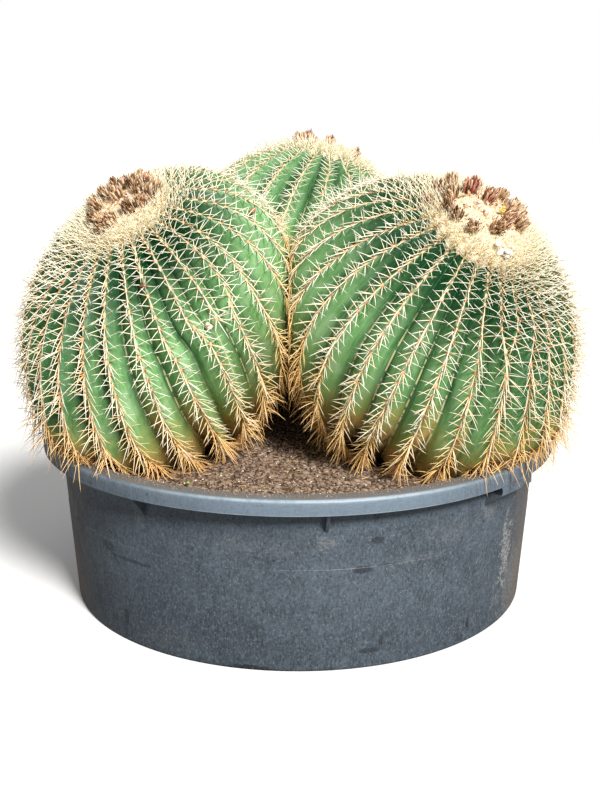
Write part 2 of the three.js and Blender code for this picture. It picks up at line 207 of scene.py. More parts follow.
@dataclass
class Needles:
    """Bent, tapering needles, worked out all at once.

    The centre line is base + length (t along + t^2 bend), and the radius falls from the
    thickness at t = 0 to a point at t = 1 as (1 - t) to the power of the taper.
    """

    base: Array
    along: Array
    bend: Array
    length: Array
    thickness: Array
    age: Array
    shade: Array
    steps: tuple[float, ...] = (0.0, 0.5)
    sides: int = 3
    taper: float = 0.7
    flatness: float = 1.0

    def patch(self, keep_clear: Callable[[Array], Array] | None = None) -> Patch:
        """Builds the needles' surfaces.

        Args:
            keep_clear: Moves points out of what they may not enter.

        Returns:
            One patch, with marks of age, distance along the needle and shade.
        """
        count, t = len(self.base), np.array([*self.steps, 1.0])
        reach = self.length[:, None, None]
        centre = self.base[:, None] + reach * (
            self.along[:, None] * t[None, :, None] + self.bend[:, None] * (t**2)[None, :, None])
        if keep_clear is not None:
            centre[:, 1:] = keep_clear(centre[:, 1:])
        side = unit(np.cross(self.along, self.bend + np.array([0.013, 0.021, 0.034])))
        face = np.cross(self.along, side)
        turn = 2 * np.pi * np.arange(self.sides) / self.sides
        round_off = (side[:, None, None] * np.cos(turn)[None, None, :, None]
                     + face[:, None, None] * np.sin(turn)[None, None, :, None] * self.flatness)
        radius = self.thickness[:, None, None, None] * (
            (1 - np.array(self.steps)) ** self.taper)[None, :, None, None]
        rings = centre[:, :-1, None] + radius * round_off
        levels, per = len(self.steps), len(self.steps) * self.sides + 1
        points = np.concatenate([rings.reshape(count, -1, 3), centre[:, -1:]], 1)
        start = (np.arange(count) * per)[:, None, None]
        band = grid_quads(levels, self.sides, True)[None]
        i = np.arange(self.sides)
        last = (levels - 1) * self.sides
        tip = np.stack([last + i, last + (i + 1) % self.sides, np.full(self.sides, per - 1)], -1)
        foot = np.array([[0, k + 1, k] for k in range(1, self.sides - 1)])
        tris = np.concatenate([tip, foot])[None]
        lengths = np.concatenate([np.repeat(np.array(self.steps), self.sides), [1.0]])
        marks = marks_of(self.age[:, None], lengths[None], self.shade[:, None])
        return Patch(points.reshape(-1, 3), (start + band).reshape(-1, 4),
                     (start + tris).reshape(-1, 3), marks.reshape(-1, 3))


def pebbles(places: Array, sizes: Array, flatten: float, random: np.random.Generator,
            tone: Array) -> Patch:
    """Builds small stones: icosahedra with every corner moved in or out at random.

    Args:
        places: Centres.
        sizes: Mean radii.
        flatten: Height divided by width.
        random: Source of the irregularity.
        tone: One mark per stone.

    Returns:
        One patch with marks of tone, nothing and a random shade.
    """
    golden = (1 + 5**0.5) / 2
    flat = [(0.0, a, b * golden) for a in (-1, 1) for b in (-1, 1)]
    corners = unit(np.array([p[k:] + p[:k] for k in range(3) for p in flat]))
    apart = np.linalg.norm(corners[:, None] - corners[None], axis=-1)
    near = (apart > 0.1) & (apart < 1.2)
    faces = [(a, b, c) for a in range(12) for b in range(a) for c in range(b)
             if near[a, b] and near[b, c] and near[a, c]]
    faces = np.array([f if np.linalg.det(corners[list(f)]) > 0 else f[::-1] for f in faces])
    count = len(places)
    shape = corners[None] * random.uniform(0.7, 1.3, (count, 12, 1)) * sizes[:, None, None]
    turn = random.uniform(0, 2 * np.pi, count)
    cos, sin = np.cos(turn)[:, None], np.sin(turn)[:, None]
    x, y = shape[..., 0] * cos - shape[..., 1] * sin, shape[..., 0] * sin + shape[..., 1] * cos
    stretch = random.uniform(0.8, 1.5, (count, 1))
    points = np.stack([x * stretch, y, shape[..., 2] * flatten], -1) + places[:, None]
    marks = marks_of(tone[:, None], np.zeros((1, 12)), random.uniform(0, 1, (count, 1)))
    tris = (np.arange(count) * 12)[:, None, None] + faces[None]
    return Patch(points.reshape(-1, 3), tris=tris.reshape(-1, 3), marks=marks.reshape(-1, 3))


# ------------------------------------------------------------------ shader graphs


class Graph:
    """Short calls that add nodes to one shader tree."""

    def __init__(self, tree: bpy.types.NodeTree) -> None:
        """Works on the given tree."""
        self.tree = tree

    def feed(self, socket: Socket, value: Any) -> None:
        """Links a socket into an input, or sets the input to a number or a colour."""
        if isinstance(value, Socket):
            self.tree.links.new(value, socket)
        elif value is not None:
            wide = isinstance(value, tuple) and len(value) == 3 and socket.type == "RGBA"
            socket.default_value = (*value, 1.0) if wide else value

    def add(self, kind: str, *values: Any, **settings: Any) -> bpy.types.Node:
        """Adds a node, sets its properties, and feeds its inputs in order."""
        node = self.tree.nodes.new(kind)
        for key, value in settings.items():
            setattr(node, key, value)
        for socket, value in zip(node.inputs, values):
            self.feed(socket, value)
        return node

    def named(self, kind: str, **inputs: Any) -> bpy.types.Node:
        """Adds a node and feeds the inputs of the given names."""
        node = self.tree.nodes.new(kind)
        for name, value in inputs.items():
            self.feed(node.inputs[name], value)
        return node

    def math(self, operation: str, *values: Any) -> Socket:
        """Adds a Math node and returns its value."""
        return self.add("ShaderNodeMath", *values, operation=operation).outputs[0]

    def times(self, first: Any, *others: Any) -> Any:
        """Multiplies values from left to right."""
        for other in others:
            first = self.math("MULTIPLY", first, other)
        return first

    def plus(self, first: Any, second: Any) -> Any:
        """Adds two values."""
        return self.math("ADD", first, second)

    def axes(self, vector: Any) -> tuple[Any, Any, Any]:
        """Returns a vector's three parts."""
        return tuple(self.add("ShaderNodeSeparateXYZ", vector).outputs[:3])

    def band(self, value: Any, low: Any, high: Any, start: Any = 0.0, end: Any = 1.0) -> Socket:
        """Maps low..high smoothly to start..end and holds it outside."""
        return self.add("ShaderNodeMapRange", value, low, high, start, end,
                        interpolation_type="SMOOTHSTEP").outputs[0]

    def noise(self, place: Any, scale: Any, detail: float = 3.0,
              roughness: float = 0.55) -> Socket:
        """Adds cloudy noise from 0 to 1 and returns its value."""
        return self.named("ShaderNodeTexNoise", Vector=place, Scale=scale, Detail=detail,
                          Roughness=roughness).outputs["Fac"]

    def cells(self, place: Any, scale: Any) -> tuple[Any, Any]:
        """Adds a Voronoi pattern and returns the distance and a random colour per cell."""
        node = self.named("ShaderNodeTexVoronoi", Vector=place, Scale=scale)
        return node.outputs["Distance"], node.outputs["Color"]

    def stretch(self, place: Any, scale: Triple) -> Socket:
        """Scales a place before a texture reads it."""
        return self.named("ShaderNodeMapping", Vector=place, Scale=scale).outputs[0]

    def oval(self, place: Any, middle: Span, half: Span, ragged: Any) -> Socket:
        """Returns the distance from a middle, 1 at the oval's edge, plus a ragged share.

        Args:
            place: A flat map in metres.
            middle: The oval's middle on it.
            half: Its half width and half height.
            ragged: A value that is added to the distance.
        """
        node = self.named("ShaderNodeMapping", Vector=place)
        node.vector_type = "TEXTURE"
        self.feed(node.inputs["Location"], (*middle, 0.0))
        self.feed(node.inputs["Scale"], (*half, 1.0))
        far = self.add("ShaderNodeVectorMath", node.outputs[0], operation="LENGTH")
        return self.plus(far.outputs["Value"], ragged)

    def mix(self, share: Any, first: Any, second: Any, blend: str = "MIX") -> Any:
        """Mixes two colours and returns the result."""
        node = self.add("ShaderNodeMix", data_type="RGBA", blend_type=blend)
        self.feed(node.inputs[0], share)
        self.feed(node.inputs[6], first)
        self.feed(node.inputs[7], second)
        return node.outputs[2]

    def ramp(self, value: Any, stops: Sequence[tuple[float, Colour]]) -> Any:
        """Adds a colour ramp with the given stops and returns its colour."""
        node = self.add("ShaderNodeValToRGB", value)
        ramp = node.color_ramp
        for place, colour in stops[2:]:
            ramp.elements.new(place)
        for element, (place, colour) in zip(ramp.elements, stops):
            element.position = place
            element.color = (*colour, 1.0)
        return node.outputs[0]

    def marks(self) -> tuple[Any, Any, Any]:
        """Returns the piece's three marks."""
        return self.axes(self.add("ShaderNodeAttribute", attribute_name="marks").outputs["Vector"])

    def place(self) -> Socket:
        """Returns Object coordinates, in metres."""
        return self.add("ShaderNodeTexCoord").outputs["Object"]

    def follow(self) -> Socket:
        """Returns the piece's own map, in metres across and along."""
        return self.add("ShaderNodeUVMap", uv_map="follow").outputs[0]

    def bump(self, height: Any, strength: float, depth: float, under: Any = None) -> Any:
        """Adds a Bump node and returns its normal."""
        return self.named("ShaderNodeBump", Strength=strength, Distance=depth, Height=height,
                          Normal=under).outputs[0]

    def group(self, effect: "Effect", *values: Any) -> Any:
        """Places a shared effect, feeds its inputs in order and returns its first output."""
        node = self.add("ShaderNodeGroup")
        node.node_tree = effect.tree()
        for socket, value in zip(node.inputs, values):
            self.feed(socket, value)
        return node.outputs[0]


class Effect(Enum):
    """Effects that several finishes share, each a node group that puts out one mask."""

    SPECKS = "specks"
    PATCHES = "patches"
    FIBRES = "fibres"

    def tree(self) -> bpy.types.NodeTree:
        """Returns the effect's node group, built the first time."""
        found = bpy.data.node_groups.get(self.value)
        if found:
            return found
        tree = bpy.data.node_groups.new(self.value, "ShaderNodeTree")
        tree.interface.new_socket("Place", in_out="INPUT", socket_type="NodeSocketVector")
        for name in ("Scale", "Amount"):
            tree.interface.new_socket(name, in_out="INPUT", socket_type="NodeSocketFloat")
        tree.interface.new_socket("Mask", in_out="OUTPUT", socket_type="NodeSocketFloat")
        graph = Graph(tree)
        inputs = graph.add("NodeGroupInput").outputs
        mask = {Effect.SPECKS: self._specks, Effect.PATCHES: self._patches,
                Effect.FIBRES: self._fibres}[self](graph, *inputs[:3])
        graph.feed(graph.add("NodeGroupOutput").inputs[0], mask)
        return tree

    @staticmethod
    def _specks(graph: Graph, place: Any, scale: Any, amount: Any) -> Any:
        """Small round dots: the middles of those cells whose random number is low enough."""
        distance, colour = graph.cells(place, scale)
        number = graph.add("ShaderNodeSeparateColor", colour).outputs[0]
        return graph.times(graph.math("LESS_THAN", number, amount),
                           graph.band(distance, 0.18, 0.34, 1.0, 0.0))

    @staticmethod
    def _patches(graph: Graph, place: Any, scale: Any, amount: Any) -> Any:
        """Cloudy areas that cover about the given share of the surface."""
        cloud = graph.noise(place, scale, 5.0, 0.62)
        level = graph.band(amount, 0.0, 1.0, 0.72, 0.30)
        return graph.band(cloud, graph.plus(level, -0.05), graph.plus(level, 0.07))

    @staticmethod
    def _fibres(graph: Graph, place: Any, scale: Any, amount: Any) -> Any:
        """Fine streaks along the second direction of the place, amount making them sharper."""
        long = graph.stretch(place, (1.0, 0.055, 1.0))
        cloud = graph.noise(long, scale, 4.0, 0.6)
        half = graph.band(amount, 0.0, 1.0, 0.3, 0.06)
        return graph.band(cloud, graph.math("SUBTRACT", 0.5, half), graph.plus(0.5, half))


@dataclass(frozen=True)
class Finish:
    """A surface finish: the plain numbers of its shader, and a method that paints the rest."""

    name: str
    roughness: float = 0.6
    specular: float = 0.5

    def paint(self, graph: Graph) -> dict[str, Any]:
        """Builds the nodes and returns what goes into the shader's inputs, by name."""
        raise NotImplementedError

    def material(self) -> bpy.types.Material:
        """Returns the finish as a material, built the first time."""
        found = bpy.data.materials.get(self.name)
        if found:
            return found
        made = bpy.data.materials.new(self.name)
        made.use_nodes = True
        inputs = made.node_tree.nodes["Principled BSDF"].inputs
        plain = {"Roughness": self.roughness, "Specular IOR Level": self.specular}
        graph = Graph(made.node_tree)
        for name, value in [*plain.items(), *self.paint(graph).items()]:
            graph.feed(inputs[name], value)
        return made


@dataclass(frozen=True)
class SkinFinish(Finish):
    """Waxy cactus skin: marks are distance from the crest, distance from the crown, rib.

    After the colours stand the spans over which effects come or go: shares of the way from
    crest to valley (aside) and from crown to foot (down), or metres in Object coordinates.
    """

    # crest, flank, deep and valley make the ramp across a rib: a painted highlight beside the
    # crest, and painted shade towards the valley.
    crest: Colour = (0.300, 0.540, 0.290)
    flank: Colour = (0.155, 0.350, 0.118)
    deep: Colour = (0.062, 0.190, 0.056)
    # Painted shade, multiplied in on the clump's far left and right.
    shade: Colour = (0.190, 0.350, 0.260)
    valley: Colour = (0.016, 0.066, 0.018)
    # Near-black: darker young skin near the crown, and there also painted shade.
    young: Colour = (0.002, 0.042, 0.010)
    # Pale waxy coat; on the crest half of each rib it also stands as a painted highlight.
    waxy_coat_and_highlight: Colour = (0.340, 0.520, 0.290)
    ochre: Colour = (0.340, 0.340, 0.090)
    cork: tuple[Colour, Colour, Colour] = ((0.060, 0.034, 0.014), (0.300, 0.230, 0.075),
                                           (0.480, 0.290, 0.090))
    felt: Colour = (0.760, 0.520, 0.230)
    seam: Colour = (0.600, 0.560, 0.300)
    waxy_highlight_aside: Span = (0.5, 0.95)
    yellow_down: Span = (0.45, 0.80)
    foot_height: Span = (0.265, 0.385)
    far_side_shade: Span = (0.22, 0.38)
    young_and_shade_down: Span = (0.21, 0.47)
    young_and_shade_aside: Span = (0.05, 0.30)
    young_and_shade_back: Span = (0.02, 0.16)
    olive_height: Span = (0.266, 0.318)
    cork_height: Span = (0.250, 0.276)
    dark_cork_and_shade_height: Span = (0.205, 0.262)
    seam_aside: Span = (0.935, 0.965)
    seam_down: Span = (0.26, 0.45)
    seam_ribs: Span = (0.42, 0.5)
    crest_aside: Span = (0.035, 0.075)

    def greens(self, graph: Graph, aside: Any, down: Any, follow: Any, place: Any) -> Any:
        """Painted highlight in mint beside the crest and painted shade in the valley, darker at
        the crown and on the far sides, with streaks and a pale waxy coat.
        """
        across, back, height = graph.axes(place)
        uneven = graph.noise(graph.stretch(follow, (1.0, 0.15, 1.0)), 75.0, 3.0)
        spread = graph.plus(aside, graph.band(uneven, *CLOUD, -0.09, 0.09))
        # Painted light across each rib: the mint crest is a painted highlight, and deep and valley
        # are painted shade.
        green = graph.ramp(spread, [(0.07, self.crest), (0.24, self.flank), (0.52, self.flank),
                                    (0.80, self.deep), (0.97, self.valley)])
        streaks = graph.group(Effect.FIBRES, follow, 300.0, 0.7)
        green = graph.mix(graph.times(streaks, 0.30), green, self.waxy_coat_and_highlight)
        thin = graph.group(Effect.FIBRES, follow, 760.0, 0.9)
        green = graph.mix(graph.times(thin, 0.22), green, self.deep)
        # Cloudy pale waxy coat, strongest on the crest half of each rib, where it is also a
        # painted highlight.
        cloudy = graph.times(graph.group(Effect.PATCHES, place, 15.0, 0.45),
                             graph.band(aside, *self.waxy_highlight_aside, 0.45, 0.0))
        green = graph.mix(cloudy, green, self.waxy_coat_and_highlight)
        yellow = graph.times(graph.band(down, *self.yellow_down, 0.0, 0.85),
                             graph.noise(place, 18.0))
        green = graph.mix(yellow, green, self.ochre)
        # Patches of darker green that fade out higher up the head.
        patchy = graph.band(graph.noise(follow, 26.0, 4.0), 0.35, 0.62)
        foot = graph.times(graph.band(height, *self.foot_height, 0.75, 0.0), patchy)
        green = graph.mix(foot, green, self.deep)
        # Painted shade: the skin is darker on the clump's far left and right.
        outer = graph.band(graph.math("ABSOLUTE", across), *self.far_side_shade, 0.0, 0.9)
        green = graph.mix(outer, green, self.shade, "MULTIPLY")
        # Near-black near the crown, towards each valley and mostly on the front heads: partly
        # darker young skin, partly painted shade under the dense crown spines.
        young = graph.times(graph.band(down, *self.young_and_shade_down, 0.97, 0.0),
                            graph.band(aside, *self.young_and_shade_aside, 0.60, 1.0),
                            graph.band(back, *self.young_and_shade_back, 1.0, 0.45))
        green = graph.mix(young, green, self.young)
        pale = graph.group(Effect.SPECKS, place, 380.0, 0.16)
        return graph.mix(graph.times(pale, 0.45), green, self.waxy_coat_and_highlight)

    def above_soil(self, graph: Graph, rib: Any, follow: Any, place: Any) -> Any:
        """Returns the height less a wander: ribs differ, and stains rise higher in a valley."""
        across, _, height = graph.axes(place)
        share = graph.math("FRACT", graph.math("DIVIDE", graph.axes(follow)[0], RIB_MAP))
        left_to_right = graph.band(across, -0.01, 0.01, 1.0, -1.0)
        side = graph.times(graph.math("SUBTRACT", share, 0.5), left_to_right)
        wander = graph.plus(graph.times(rib, 0.040),
                            graph.times(graph.noise(place, 22.0, 4.0), 0.075))
        wander = graph.plus(wander, graph.band(side, -0.02, 0.06, -0.020, 0.030))
        streaky = graph.noise(graph.stretch(follow, (1.0, 0.08, 1.0)), 420.0, 3.0, 0.6)
        return graph.plus(graph.math("SUBTRACT", height, wander),
                          graph.band(streaky, *CLOUD, -0.012, 0.012))

    def paint(self, graph: Graph) -> dict[str, Any]:
        """Green flanks, tan crest and valley lines, and a corky foot that starts at a valley."""
        aside, down, rib = graph.marks()
        follow, place = graph.follow(), graph.place()
        green = self.greens(graph, aside, down, follow, place)
        low = self.above_soil(graph, rib, follow, place)
        green = graph.mix(graph.band(low, *self.olive_height, 0.72, 0.0), green, self.ochre)
        corky = graph.band(low, *self.cork_height, 1.0, 0.0)
        wrinkles = graph.noise(graph.stretch(follow, (0.22, 1.0, 1.0)), 330.0, 3.0, 0.6)
        grain = graph.mix(0.5, wrinkles, graph.noise(place, 60.0))
        # The cork darkens towards the soil: partly darker old cork, partly painted shade low on
        # the head.
        depth = graph.plus(graph.band(low, *self.dark_cork_and_shade_height, -0.20, 0.16), grain)
        cork = graph.ramp(depth, list(zip((0.32, 0.52, 0.74), self.cork)))
        colour = graph.mix(corky, green, cork)
        broken = graph.band(graph.noise(graph.stretch(follow, (0.1, 1.0, 1.0)), 90.0), 0.42, 0.54)
        seam = graph.times(graph.band(aside, *self.seam_aside), broken,
                           graph.times(graph.band(rib, *self.seam_ribs, 0.12, 0.9),
                                       graph.band(down, *self.seam_down)))
        colour = graph.mix(seam, colour, self.seam)
        ragged = graph.plus(aside, graph.times(graph.noise(place, 90.0, 2.0), 0.05))
        crest = graph.times(graph.band(ragged, *self.crest_aside, 1.0, 0.0), 0.85)
        rough = graph.band(graph.noise(place, 30.0), *CLOUD, 0.40, 0.58)
        relief = graph.times(wrinkles, graph.plus(corky, 0.14))
        return {"Base Color": graph.mix(crest, colour, self.felt),
                "Roughness": graph.math("MAXIMUM", rough, graph.times(corky, 0.85)),
                "Normal": graph.bump(relief, 0.7, 0.0014)}


@dataclass(frozen=True)
class SpineFinish(Finish):
    """Spines: marks are age, distance from the base, shade."""

    young: Colour = (0.930, 0.830, 0.490)
    grown: Colour = (0.960, 0.910, 0.740)
    golden: Colour = (0.930, 0.570, 0.175)
    old: Colour = (0.900, 0.530, 0.240)
    tip: Colour = (0.985, 0.970, 0.900)
    foot: Colour = (0.900, 0.520, 0.180)

    def paint(self, graph: Graph) -> dict[str, Any]:
        """Cream to golden and brown with age, paler towards the tip, each a little different."""
        age, along, shade = graph.marks()
        aged = graph.plus(age, graph.band(shade, 0.0, 1.0, -0.12, 0.12))
        colour = graph.ramp(aged, [(0.0, self.young), (0.42, self.grown), (0.74, self.golden),
                                   (1.0, self.old)])
        light = graph.times(graph.band(along, 0.2, 0.8), graph.band(age, 0.42, 0.8, 0.6, 0.05))
        colour = graph.mix(light, colour, self.tip)
        return {"Base Color": graph.mix(graph.band(along, 0.04, 0.20, 0.7, 0.0), colour,
                                        self.foot)}


@dataclass(frozen=True)
class FeltFinish(Finish):
    """Woolly pads and crowns: marks are age, height, shade."""

    young: Colour = (0.900, 0.740, 0.510)
    grown: Colour = (0.760, 0.500, 0.260)
    old: Colour = (0.360, 0.220, 0.110)
    spot: Colour = (0.420, 0.200, 0.070)
    sunlit: Colour = (1.0, 0.93, 0.8)

    def paint(self, graph: Graph) -> dict[str, Any]:
        """Cream wool that turns tan and brown with age, with darker tufts and short fibres."""
        age, _, shade = graph.marks()
        place = graph.place()
        colour = graph.ramp(age, [(0.0, self.young), (0.5, self.grown), (1.0, self.old)])
        cloud = graph.noise(place, 120.0, 4.0, 0.6)
        dark = graph.times(graph.band(cloud, 0.48, 0.70), 0.50)
        colour = graph.mix(dark, colour, self.spot)
        flecks = graph.group(Effect.SPECKS, graph.stretch(place, (1.0, 0.7, 1.0)), 210.0, 0.20)
        woolly = graph.band(age, 0.08, 0.12, 0.85, 0.0)
        colour = graph.mix(graph.times(flecks, woolly), colour, self.spot)
        colour = graph.mix(graph.band(shade, 0.0, 1.0, 0.0, 0.25), colour, self.sunlit)
        fuzz = graph.noise(place, 900.0, 4.0, 0.7)
        return {"Base Color": colour, "Normal": graph.bump(fuzz, 0.9, 0.0012)}


@dataclass(frozen=True)
class FlowerFinish(Finish):
    """Dried flowers: marks are tone (0 brown, 0.5 tan, 1 red), distance from base, shade."""

    brown: Colour = (0.310, 0.165, 0.075)
    tan: Colour = (0.690, 0.470, 0.250)
    red: Colour = (0.420, 0.095, 0.070)
    char: Colour = (0.060, 0.026, 0.012)
    pale: Colour = (0.860, 0.680, 0.520)

    def paint(self, graph: Graph) -> dict[str, Any]:
        """Papery browns, some of them reddish, darker at scattered tips."""
        tone, along, shade = graph.marks()
        colour = graph.ramp(tone, [(0.0, self.brown), (0.5, self.tan), (1.0, self.red)])
        dark = graph.band(shade, 0.62, 0.80, 0.0, 0.82)
        colour = graph.mix(dark, colour, self.char)
        pale = graph.times(graph.band(shade, 0.14, 0.36, 0.9, 0.0), along)
        grain = graph.noise(graph.place(), 700.0)
        return {"Base Color": graph.mix(pale, colour, self.pale),
                "Normal": graph.bump(grain, 0.5, 0.0006)}


@dataclass(frozen=True)
class Smudge:
    """An oval mark on the wall: angle in degrees, height and half sizes in mm, and strength.

    A positive strength darkens the plastic and a negative one leaves pale dust on it.
    """

    angle: float
    height: float
    wide: float
    tall: float
    strength: float


SMUDGES = tuple(Smudge(*row) for row in (
    (17.0, 204, 11, 6, 0.65), (13.5, 160, 18, 6, 0.7), (19, 164, 18, 2, 0.55),
    (16.1, 29, 17, 4.5, 0.6), (18.6, 41, 4.5, 11, 0.65), (20.5, 52, 9, 7, 0.4),
    (42.9, 32, 4, 15, 0.75), (40.5, 12, 9, 6, 0.45), (-5, 178, 2.2, 2.2, 0.9),
    (-10.5, 3, 40, 6, 0.85), (-43.5, 42, 6, 13, 0.55), (-62, 168, 18, 34, 0.35),
    # The mark at 44.9 degrees and 250 mm is painted shade: the dark pocket under the skirt where
    # the first grip begins.
    (-40, 141, 46, 3.5, 0.5), (-48, 152, 16, 9, 0.5), (44.9, 250, 3.5, 8, 1.0),
    (26, 166, 40, 6, -0.12), (57, 128, 17, 52, -0.70), (-36, 222, 13, 14, -0.2),
    (64, 60, 60, 60, -0.28), (-8, 196, 70, 16, -0.09), (6, 206, 14, 9, -0.25),
    (34, 196, 60, 14, -0.09), (-30, 30, 60, 22, -0.07), (48, 215, 22, 18, -0.22),
))


@dataclass(frozen=True)
class TubFinish(Finish):
    """Dusty, scuffed dark plastic.

    Spans are metres in Object coordinates or along the wall, apart from those of facing, which
    is how far a surface faces up, from 0 to 1.
    """

    plastic: Colour = (0.035, 0.046, 0.060)
    # Paler plastic from wear, also used as painted light at the front of the wall.
    worn_and_lit: Colour = (0.076, 0.096, 0.118)
    dark: Colour = (0.012, 0.015, 0.020)
    fleck: Colour = (0.130, 0.170, 0.210)
    dust: Colour = (0.380, 0.370, 0.345)
    # Paler rim colour from wear; also painted in as light just under the rim and, most at the
    # front, on the rim itself.
    rim: Colour = (0.165, 0.215, 0.268)
    # Pale rubbed plastic, also a painted highlight on the rim's edges.
    rubbed_edge_and_highlight: Colour = (0.370, 0.440, 0.490)
    lip_dust: Colour = (0.150, 0.126, 0.110)
    earth: Colour = (0.200, 0.135, 0.090)
    middle: Span = (0.1, 0.42)
    low_wall_shade: Span = (0.02, 0.13)
    under_rim_light: Span = (0.215, 0.246)
    side_walls: Span = (0.36, 0.50)
    skirt_radius: Span = (0.4225, 0.4245)
    skirt_height: Span = (0.2550, 0.2562)
    rim_height: Span = (0.2722, 0.2730)
    rim_lit_front: Span = (0.06, 0.30)
    skirt_foot: Span = (0.2572, 0.2588)
    edge_facing: Span = (0.25, 0.62)
    past_edge_facing: Span = (0.80, 0.99)
    lip_facing: Span = (0.9, 0.99)

    def wall(self, graph: Graph, place: Any, arc: Any, height: Any, spread: Any) -> Any:
        """Blotched plastic with pale specks and scratches, smudges, and earth on the sides;
        lighter at the front and just under the rim as painted light, darker at the base as painted
        shade.
        """
        blotches = graph.band(graph.noise(place, 6.5, 6.0, 0.65), 0.33, 0.68)
        colour = graph.mix(blotches, self.plastic, self.worn_and_lit)
        # Painted light: the wall is lighter at the front, a little right of the middle, where the
        # lamp falls.
        off = graph.math("ABSOLUTE", graph.plus(arc, -0.05))
        colour = graph.mix(graph.band(off, *self.middle, 0.14, 0.0), colour, self.worn_and_lit)
        # Painted shade: the wall darkens towards its base.
        colour = graph.mix(graph.band(height, *self.low_wall_shade, 0.65, 0.0), colour, self.plastic)
        # Painted light: just under the rim the wall is lifted towards the rim's colour, against
        # the rim's shadow.
        colour = graph.mix(graph.band(height, *self.under_rim_light, 0.0, 0.5), colour, self.rim)
        for scale, share in ((60.0, 0.35), (300.0, 0.85)):
            mottle = graph.noise(graph.stretch(place, (1.0, 1.0, 0.6)), scale, 4.0, 0.75)
            colour = graph.mix(graph.band(mottle, 0.32, 0.49, share, 0.0), colour, self.dark)
            colour = graph.mix(graph.band(mottle, 0.50, 0.68, 0.0, share), colour, self.fleck)
        upright, level = (1.0, 1.0, 1.0), (0.06, 18.0, 1.0)
        for flat, scale, share in ((upright, 520.0, 0.34), (level, 430.0, 0.12)):
            lines = graph.group(Effect.FIBRES, graph.stretch(spread, flat), scale, 0.95)
            colour = graph.mix(graph.times(lines, share), colour, self.worn_and_lit)
        ragged = graph.noise(place, 75.0, 5.0, 0.7)
        scratched = graph.noise(graph.stretch(spread, (0.5, 1.0, 1.0)), 300.0, 5.0)
        for mark in SMUDGES:
            colour = self.smudge(graph, mark, spread, ragged, scratched, colour)
        for scale, amount, share in ((330.0, 0.09, 0.45), (760.0, 0.30, 0.34)):
            specks = graph.group(Effect.SPECKS, place, scale, amount)
            colour = graph.mix(graph.times(specks, share), colour, self.dust)
        earth = graph.times(graph.band(graph.math("ABSOLUTE", arc), *self.side_walls),
                            graph.noise(place, 11.0), graph.band(height, 0.0, 0.26, 0.95, 0.55))
        return graph.mix(earth, colour, self.earth)

    def smudge(self, graph: Graph, mark: Smudge, spread: Any, ragged: Any, scratched: Any,
               colour: Any) -> Any:
        """Puts one oval mark over a colour.

        Args:
            graph: The shader tree.
            mark: The mark.
            spread: The wall's flat map.
            ragged: Noise that frays the mark's edge, a dusty one's more.
            scratched: Fine noise that breaks up a dusty mark.
            colour: What lies under it.

        Returns:
            The colour with the mark.
        """
        middle = (math.radians(mark.angle) * WALL_MAP, mark.height * METRES)
        half = (mark.wide * METRES, mark.tall * METRES)
        dusty = mark.strength < 0
        swing = 0.8 if dusty else 0.28
        far = graph.oval(spread, middle, half, graph.band(ragged, 0.25, 0.75, -swing, swing))
        inside = graph.band(far, 0.7, 1.15, abs(mark.strength), 0.0)
        if dusty:
            inside = graph.times(inside, graph.band(scratched, 0.38, 0.64, 0.10, 1.0))
        return graph.mix(inside, colour, self.dust if dusty else self.dark)

    def paint(self, graph: Graph) -> dict[str, Any]:
        """The wall's marks, a paler rim from wear that fades to the sides as painted light, a
        painted highlight over rubbing on its edges, and dust on the lip.
        """
        place = graph.place()
        across, back, height = graph.axes(place)
        arc = graph.times(graph.math("ARCTAN2", across, graph.times(back, -1.0)), WALL_MAP)
        spread = graph.add("ShaderNodeCombineXYZ", arc, height, 0.0).outputs[0]
        colour = self.wall(graph, place, arc, height, spread)
        radius = graph.add("ShaderNodeVectorMath", graph.stretch(place, (1.0, 1.0, 0.0)),
                           operation="LENGTH").outputs["Value"]
        cloud = graph.noise(place, 40.0, 5.0, 0.7)
        skirt = graph.times(graph.band(radius, *self.skirt_radius),
                            graph.band(height, *self.skirt_height))
        outer = graph.math("MAXIMUM", skirt, graph.band(height, *self.rim_height))
        rough_rim = graph.noise(graph.stretch(place, (1.0, 1.0, 2.0)), 170.0, 5.0, 0.75)
        worn_and_lit = graph.times(outer, graph.band(rough_rim, 0.28, 0.68, 0.45, 1.0))
        # The rim's paler wear is strongest at the front and fades to the sides, which is painted
        # light.
        off = graph.math("ABSOLUTE", graph.plus(arc, -0.03))
        side = graph.band(off, *self.rim_lit_front, 1.0, 0.12)
        colour = graph.mix(graph.times(worn_and_lit, side), colour, self.rim)
        # Painted highlight over some real rubbing: the rim's rounded top edge and the skirt's
        # lower edge turn pale, most at the front.
        facing = graph.axes(graph.add("ShaderNodeNewGeometry").outputs["Normal"])[2]
        edge = graph.times(graph.band(facing, *self.edge_facing),
                           graph.band(facing, *self.past_edge_facing, 1.0, 0.0))
        foot = graph.band(height, *self.skirt_foot, 1.0, 0.0)
        edge_highlight = graph.times(graph.math("MAXIMUM", edge, foot), outer,
                             graph.band(cloud, 0.3, 0.6, 0.30, 0.75), side)
        colour = graph.mix(edge_highlight, colour, self.rubbed_edge_and_highlight)
        lip = graph.times(graph.band(facing, *self.lip_facing),
                          graph.band(cloud, *CLOUD, 0.55, 0.95))
        rough = graph.band(cloud, *CLOUD, 0.40, 0.58)
        relief = graph.plus(graph.times(graph.noise(place, 520.0, 3.0), 0.4),
                            graph.noise(place, 60.0))
        return {"Base Color": graph.mix(lip, colour, self.lip_dust),
                "Roughness": graph.plus(rough, graph.times(lip, 0.3)),
                "Normal": graph.bump(relief, 0.35, 0.0010)}


